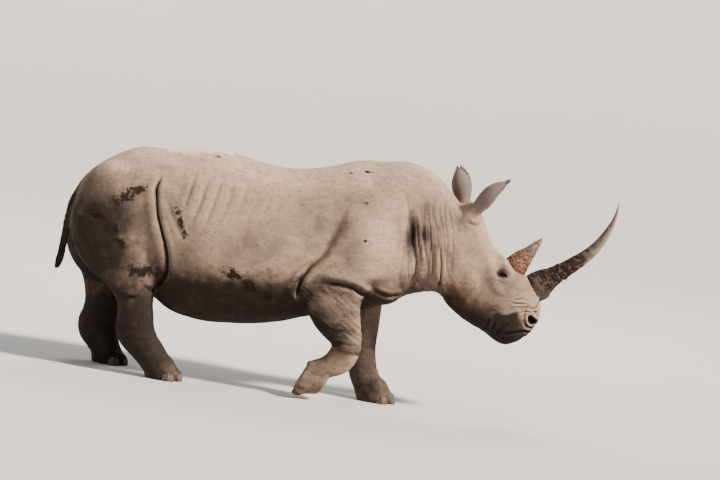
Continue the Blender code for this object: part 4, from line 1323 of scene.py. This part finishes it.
# ======== materials
class Paint:
    """A material made of procedural nodes, in the space of the object itself."""

    def __init__(self, name):
        self.material = bpy.data.materials.new(name)
        self.material.use_nodes = True
        self.tree = self.material.node_tree
        self.bsdf = self.tree.nodes["Principled BSDF"]
        self.place = self.add("ShaderNodeTexCoord").outputs["Object"]
        self.normal = None

    def add(self, kind, inputs=None, **settings):
        node = self.tree.nodes.new(kind)
        for key, value in settings.items():
            setattr(node, key, value)
        for key, value in (inputs or {}).items():
            self.feed(node.inputs[key], value)
        return node

    def feed(self, socket, value):
        """Links another node's output to a socket, or sets the socket to a value or a colour."""
        if isinstance(value, bpy.types.NodeSocket):
            self.tree.links.new(value, socket)
        elif socket.type == "RGBA":
            socket.default_value = (*value, 1.0)
        else:
            socket.default_value = value

    def noise(self, scale, detail=4.0, roughness=0.55, place=None):
        inputs = {"Vector": place or self.place, "Scale": scale, "Detail": detail, "Roughness": roughness}
        return self.add("ShaderNodeTexNoise", inputs).outputs["Fac"]

    def cracks(self, scale, place):
        inputs = {"Vector": place, "Scale": scale, "Randomness": 1.0}
        return self.add("ShaderNodeTexVoronoi", inputs, feature="DISTANCE_TO_EDGE").outputs["Distance"]

    def stretched(self, scale, place=None):
        inputs = {"Vector": place or self.place, "Scale": scale}
        return self.add("ShaderNodeMapping", inputs).outputs["Vector"]

    def vector(self, operation, inputs):
        return self.add("ShaderNodeVectorMath", inputs, operation=operation).outputs[0]

    def warped(self, scale, reach):
        """The place, pushed about by noise, so that cells and cracks get crooked sides."""
        push = self.add("ShaderNodeTexNoise", {"Vector": self.place, "Scale": scale, "Detail": 2.0})
        centred = self.vector("SUBTRACT", {0: push.outputs["Color"], 1: (0.5, 0.5, 0.5)})
        scaled = self.vector("SCALE", {0: centred, "Scale": reach})
        return self.vector("ADD", {0: self.place, 1: scaled})

    def blended(self, share, a, b):
        return self.add("ShaderNodeMix", {0: share, 2: a, 3: b}, data_type="FLOAT").outputs[0]

    def math(self, operation, a, b):
        return self.add("ShaderNodeMath", {0: a, 1: b}, operation=operation).outputs[0]

    def times(self, a, b):
        return self.math("MULTIPLY", a, b)

    def plus(self, a, b):
        return self.math("ADD", a, b)

    def unrest(self, value, noise, reach):
        """The value, with a noise laid on it that reaches half as far up and down."""
        return self.plus(value, self.times(self.math("SUBTRACT", noise, 0.5), reach))

    def ranged(self, value, low, high, to_low=0.0, to_high=1.0):
        inputs = {"Value": value, "From Min": low, "From Max": high, "To Min": to_low, "To Max": to_high}
        return self.add("ShaderNodeMapRange", inputs, interpolation_type="SMOOTHSTEP").outputs["Result"]

    def mixed(self, share, a, b):
        return self.add("ShaderNodeMix", {0: share, 6: a, 7: b}, data_type="RGBA").outputs[2]

    def kept(self, name):
        return self.add("ShaderNodeAttribute", attribute_name=name).outputs["Fac"]

    def start(self, share, a, b):
        """Lays the first coat: two colours mixed."""
        self.colour = self.mixed(share, a, b)

    def coat(self, share, colour):
        """Lays a colour over the coats so far, as strongly as the share says."""
        self.colour = self.mixed(share, self.colour, colour)

    def coat_where(self, value, low, high, colour, most=1.0):
        """Lays a colour that is absent where the value is low and as strong as "most" where it is high."""
        self.coat(self.ranged(value, low, high, 0.0, most), colour)

    def bump(self, height, distance, strength):
        """Adds small relief to the relief so far."""
        inputs = {"Height": height, "Distance": distance, "Strength": strength}
        if self.normal is not None:
            inputs["Normal"] = self.normal
        self.normal = self.add("ShaderNodeBump", inputs).outputs["Normal"]

    def finish(self, roughness, gloss):
        """Feeds the coats and the relief to the shader, with its roughness and specular level."""
        inputs = {"Base Color": self.colour, "Roughness": roughness, "Specular IOR Level": gloss}
        if self.normal is not None:
            inputs["Normal"] = self.normal
        for key, value in inputs.items():
            self.feed(self.bsdf.inputs[key], value)
        return self.material


def hide_gaps(paint):
    """Distance from the hide's fine cracks: cells, upright pleats on the neck, rows low and behind."""
    bent = paint.warped(34.0, 0.012)
    small = paint.cracks(132.0, bent)
    pleats = paint.cracks(84.0, paint.stretched((1.6, 1.0, 0.40), bent))
    rows = paint.cracks(84.0, paint.stretched((0.40, 0.8, 1.7), bent))
    gap = paint.blended(paint.kept("upright"), small, pleats)
    return bent, paint.blended(paint.times(paint.kept("level"), 0.75), gap, rows)


def hide():
    """Dusty hide: mottled tan and taupe, fine cracks that follow the wrinkles, stains, mud, and painted
    shade, highlight and reflected light.
    """
    paint = Paint("hide")
    mud = paint.kept("mud")
    blotch = paint.noise(2.2, 5.0, 0.6)
    patch = paint.noise(9.0, 5.0, 0.62)
    grain = paint.noise(42.0, 6.0, 0.68)
    bent, gap = hide_gaps(paint)
    streak = paint.noise(24.0, 5.0, 0.7, paint.stretched((1.0, 1.0, 1.9), bent))
    skin_only = paint.math("SUBTRACT", 1.0, paint.plus(paint.kept("ear"), paint.kept("cup")))
    uneven = paint.times(paint.ranged(patch, 0.34, 0.66, 0.15, 1.0), skin_only)
    # Clean skin, mottled, a painted highlight on the top of the back and the front of the shoulder, and the
    # dust on the back.
    paint.start(paint.ranged(blotch, 0.36, 0.64), (0.205, 0.153, 0.128), (0.400, 0.288, 0.222))
    paint.coat_where(patch, 0.42, 0.70, (0.510, 0.385, 0.300), 0.5)
    # Painted highlight on the top of the back and the front of the shoulder, with the dust.
    paint.coat(paint.times(paint.kept("pale"), 0.5), (0.600, 0.465, 0.365))
    paint.coat_where(paint.kept("pale"), 1.0, 1.8, (0.720, 0.620, 0.545), 0.7)
    paint.coat_where(streak, 0.50, 0.30, (0.128, 0.094, 0.080), 0.38)
    paint.coat_where(grain, 0.48, 0.30, (0.128, 0.092, 0.076), 0.42)
    # Reddish stain with painted reflected light, painted shade with dirt, the ears' backs and cups.
    # Red dust and painted red reflected light.
    stain_and_reflection = paint.plus(paint.kept("stain_and_reflection"), paint.times(grain, 0.5))
    paint.coat_where(stain_and_reflection, 0.50, 1.25, (0.120, 0.054, 0.030), 0.80)
    # Painted shade, with dirt on the hind legs and the rump.
    shade = paint.unrest(paint.kept("dark"), patch, 0.8)
    paint.coat_where(shade, 0.05, 0.85, (0.020, 0.016, 0.016), 0.95)
    paint.coat(paint.times(paint.kept("ear"), 0.85), (0.170, 0.135, 0.138))
    paint.coat(paint.times(paint.kept("cup"), 0.8), (0.270, 0.185, 0.155))
    # Painted shade in the fine cracks, fewer on the face, and in the creases that the modelling left.
    # Painted shade in the fine cracks, where the bump below sinks the skin.
    cracked = paint.times(paint.ranged(gap, 0.16, 0.0, 0.0, 0.24), uneven)
    off_face = paint.ranged(paint.kept("face"), 0.0, 1.0, 1.0, 0.45)
    paint.coat(paint.times(cracked, off_face), (0.085, 0.057, 0.045))
    # Painted shade in the creases.
    paint.coat_where(paint.kept("crease_shade"), 0.10, 0.90, (0.026, 0.018, 0.015), 0.92)
    # Dry mud in ragged patches.
    ragged = paint.math("SUBTRACT", paint.noise(27.0, 8.0, 0.72), 0.5)
    splash = paint.ranged(paint.plus(mud, paint.times(ragged, 4.2)), 0.38, 0.82, 0.0, 0.94)
    mud_share = paint.times(splash, paint.ranged(mud, 0.05, 0.40))
    soaked = paint.mixed(paint.ranged(patch, 0.35, 0.65), (0.013, 0.009, 0.007), (0.034, 0.021, 0.015))
    paint.coat(mud_share, soaked)
    # Relief.
    relief = paint.times(paint.ranged(gap, 0.0, 0.22), uneven)
    off_face = paint.ranged(paint.kept("face"), 0.0, 1.0, 1.0, 0.5)
    paint.bump(paint.times(relief, off_face), 0.0028, 0.9)
    paint.bump(grain, 0.0034, 0.6)
    paint.bump(paint.noise(230.0, 3.0, 0.6), 0.0006, 0.6)
    paint.bump(mud_share, 0.0012, 0.8)
    return paint.finish(paint.ranged(grain, 0.3, 0.7, 0.85, 0.66), 0.17)


def horn_front():
    """Grey horn with long fibres, caked brown over its lower half, a collar at its foot, a pale tip."""
    paint = Paint("horn_front")
    share, under = paint.kept("share"), paint.kept("under")
    fibres = paint.noise(30.0, 6.0, 0.6, paint.stretched((0.8, 2.2, 0.8)))
    flakes = paint.noise(46.0, 6.0, 0.68)
    lumps = paint.noise(24.0, 4.0, 0.6)
    paint.start(paint.ranged(fibres, 0.35, 0.68), (0.070, 0.050, 0.042), (0.190, 0.145, 0.120))
    paint.coat_where(under, 0.2, 0.9, (0.340, 0.275, 0.230), 0.6)
    caked = paint.mixed(paint.ranged(flakes, 0.48, 0.66), (0.016, 0.010, 0.008), (0.120, 0.066, 0.045))
    edge = paint.math("SUBTRACT", paint.unrest(share, lumps, 0.55), paint.times(under, -0.10))
    paint.coat_where(edge, 0.66, 0.46, caked)
    paint.coat_where(paint.unrest(share, lumps, 0.10), 0.112, 0.082, (0.078, 0.055, 0.045))
    paint.coat_where(share, 0.86, 1.0, (0.400, 0.330, 0.280), 0.5)
    paint.bump(fibres, 0.0022, 0.7)
    paint.bump(flakes, 0.0030, 0.8)
    return paint.finish(paint.ranged(share, 0.3, 1.0, 0.82, 0.48), 0.35)


def horn_rear():
    """Lumpy reddish brown horn that turns grey towards its tip."""
    paint = Paint("horn_rear")
    fibres = paint.noise(34.0, 6.0, 0.6, paint.stretched((0.9, 2.4, 0.7)))
    lumps = paint.noise(74.0, 5.0, 0.66)
    paint.start(paint.ranged(lumps, 0.38, 0.64), (0.070, 0.038, 0.027), (0.265, 0.150, 0.098))
    grey = paint.mixed(paint.ranged(fibres, 0.35, 0.7), (0.105, 0.082, 0.070), (0.250, 0.205, 0.175))
    paint.coat_where(paint.unrest(paint.kept("share"), lumps, 0.4), 0.50, 0.72, grey)
    paint.bump(fibres, 0.0020, 0.7)
    paint.bump(lumps, 0.0026, 0.8)
    return paint.finish(0.7, 0.3)


def eye():
    """Nearly black eye: pupil, streaked iris and a dark rim, by the angle from the way it looks."""
    paint = Paint("eye")
    look = paint.kept("look")
    streaks = paint.noise(300.0, 3.0, 0.6)
    iris = paint.mixed(paint.ranged(streaks, 0.35, 0.7), (0.006, 0.003, 0.002), (0.020, 0.010, 0.006))
    paint.start(paint.ranged(look, 11.0, 14.0), (0.002, 0.002, 0.002), iris)
    paint.coat_where(look, 34.0, 40.0, (0.012, 0.008, 0.007))
    return paint.finish(0.12, 0.22)


def nail():
    """Dark horn of the nails, with level streaks."""
    paint = Paint("nail")
    grain = paint.noise(70.0, 5.0, 0.6, paint.stretched((1.0, 1.0, 3.0)))
    paint.start(paint.ranged(grain, 0.35, 0.68), (0.050, 0.037, 0.030), (0.190, 0.140, 0.108))
    paint.bump(grain, 0.0009, 0.6)
    return paint.finish(0.6, 0.35)


def hair(name, deep, light):
    """Strands between a deep and a light colour, each by its own tone."""
    paint = Paint(name)
    share = paint.unrest(paint.kept("tone"), paint.noise(500.0, 2.0, 0.5), 0.6)
    paint.start(paint.ranged(share, 0.1, 0.9), deep, light)
    return paint.finish(0.55, 0.3)


# ======== the animal
def placed(name, mesh, material, slot, *nodes):
    """Puts a mesh of the body frame into the row's frame, with its material, in place of CAD nodes."""
    set_points(mesh, points_of(mesh) + np.array(ORIGIN))
    piece = linked(name, mesh)
    mesh.materials.clear()
    mesh.materials.append(material)
    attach(piece, BODY)
    if nodes:
        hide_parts(*nodes)
    return piece


def build_animal():
    """The skin and the pieces in it: horns, eyes, nails and hair."""
    rng = np.random.default_rng(HAIR_SEED)
    clay, balls = model_skin()
    mark_skin(clay)
    clay.mesh.shade_smooth()
    placed("skin", clay.mesh, hide(), "hide", *BODY_NODES, *EAR_NODES)
    horn_materials = {"horn_front": horn_front(), "horn_rear": horn_rear()}
    for name, material in horn_materials.items():
        mesh = horn_mesh(name)
        mesh.shade_smooth()
        placed(name + "_detail", mesh, material, "horn", name)
    eye_material = eye()
    for name, ball in zip(EYE_NODES, balls):
        placed(name + "_ball", eye_mesh(*ball), eye_material, "eye", name)
    nail_material = nail()
    for name in NAIL_NODES:
        mesh = nail_mesh(name)
        mesh.shade_smooth()
        placed(name + "_plate", mesh, nail_material, "nail", name)
    tuft_material = hair("tuft_hair", (0.014, 0.010, 0.009), (0.085, 0.060, 0.048))
    placed("tail_tuft_hair", tuft_mesh(rng), tuft_material, "hair", "tail_tuft")
    fringe_material = hair("fringe_hair", (0.060, 0.040, 0.030), (0.330, 0.250, 0.200))
    for name in EAR_NODES:
        placed(name + "_fringe", fringe_mesh(name, rng), fringe_material, "hair")


# ======== the studio
VIEW_TILT = math.radians(8.036)  # the view is rolled: the animal seems to walk downhill in it
VIEW_DOWN = math.radians(4.5)
VIEW_REACH = 22.0
VIEW_AT = Vector((0.260, 0.0, 1.1165))
VIEW_WIDTH = 4.9655
VIEW_END = 300.0
SENSOR = 36.0
FLOOR_FLAT = 60.0
FLOOR_BEND = 70.0
FLOOR_WALL = 5.0
FLOOR_INNER = 6.0  # the first ring round the animal
FLOOR_SIDES = 96
FLOOR_STEPS = 12
KEY_WAY = (0.84, -0.42, 0.76)
KEY_SOFTNESS = math.radians(9)
KEY_POWER = 6.8
KEY_COLOUR = (1.0, 0.905, 0.785)
SKY_COLOUR = (0.86, 0.93, 1.0)
SKY_POWER = 0.38
LIT_AT = Vector((0.2, 0.0, 0.8))
# Soft lights: the way to each from LIT_AT and how far off it is, then its size, power and colour.
SOFT_LIGHTS = {
    "fill": ((-0.8, -0.8, 0.4), 14.0, 7.0, 90, SKY_COLOUR),
    "rim": ((0.1, 0.8, 0.9), 12.0, 4.0, 450, (1.0, 0.97, 0.93)),
}


def build_camera():
    camera = linked("camera", bpy.data.cameras.new("camera"))
    tilted_up = Vector((-math.sin(VIEW_TILT), 0, math.cos(VIEW_TILT)))
    far = Vector((0, 1, 0))
    forward = (far * math.cos(VIEW_DOWN) - tilted_up * math.sin(VIEW_DOWN)).normalized()
    up = (tilted_up * math.cos(VIEW_DOWN) + far * math.sin(VIEW_DOWN)).normalized()
    across = forward.cross(up).normalized()
    camera.location = VIEW_AT + ORIGIN - forward * VIEW_REACH
    camera.rotation_euler = Matrix((across, up, -forward)).transposed().to_euler()
    camera.data.sensor_width = SENSOR
    camera.data.lens = SENSOR * VIEW_REACH / VIEW_WIDTH
    camera.data.clip_end = VIEW_END
    bpy.context.scene.camera = camera


def build_stage():
    """A large pale floor that curves up into a wall all round."""
    profile = [(FLOOR_INNER, 0.0), (FLOOR_FLAT, 0.0)]
    for step in range(1, FLOOR_STEPS + 1):
        turn = math.radians(90 * step / FLOOR_STEPS)
        profile.append((FLOOR_FLAT + FLOOR_BEND * math.sin(turn), FLOOR_BEND * (1 - math.cos(turn))))
    profile.append((FLOOR_FLAT + FLOOR_BEND, FLOOR_BEND + FLOOR_WALL))
    turns = [2 * math.pi * i / FLOOR_SIDES for i in range(FLOOR_SIDES)]
    points = [(far * math.cos(t), far * math.sin(t), high) for far, high in profile for t in turns]
    walls = [face[::-1] for face in tube_walls(len(profile), FLOOR_SIDES)]
    mesh = mesh_from("studio_floor", points, walls + [tuple(range(FLOOR_SIDES))])
    mesh.shade_smooth()
    floor = linked("studio_floor", mesh)
    paint = Paint("studio_floor")
    paint.start(paint.noise(0.6, 2.0, 0.5), (0.56, 0.555, 0.545), (0.59, 0.585, 0.575))
    mesh.materials.append(paint.finish(0.9, 0.5))


def aimed_light(name, kind, way, power, colour):
    """A light that shines from the way given. A lamp's own Z axis points back at its source."""
    light = linked(name, bpy.data.lights.new(name, kind))
    light.rotation_euler = Vector(way).normalized().to_track_quat("Z", "Y").to_euler()
    light.data.energy = power
    light.data.color = colour
    return light


def build_lights():
    key = aimed_light("key", "SUN", KEY_WAY, KEY_POWER, KEY_COLOUR)
    key.data.angle = KEY_SOFTNESS
    for name, (way, reach, size, power, colour) in SOFT_LIGHTS.items():
        light = aimed_light(name, "AREA", way, power, colour)
        light.location = LIT_AT + Vector(way).normalized() * reach
        light.data.shape = "DISK"
        light.data.size = size
    world = bpy.data.worlds.new("studio")
    bpy.context.scene.world = world
    world.use_nodes = True
    sky = world.node_tree.nodes["Background"].inputs
    sky["Color"].default_value = (*SKY_COLOUR, 1.0)
    sky["Strength"].default_value = SKY_POWER
    bpy.context.scene.view_settings.look = "AgX - Medium High Contrast"


build_animal()
build_camera()
build_stage()
build_lights()
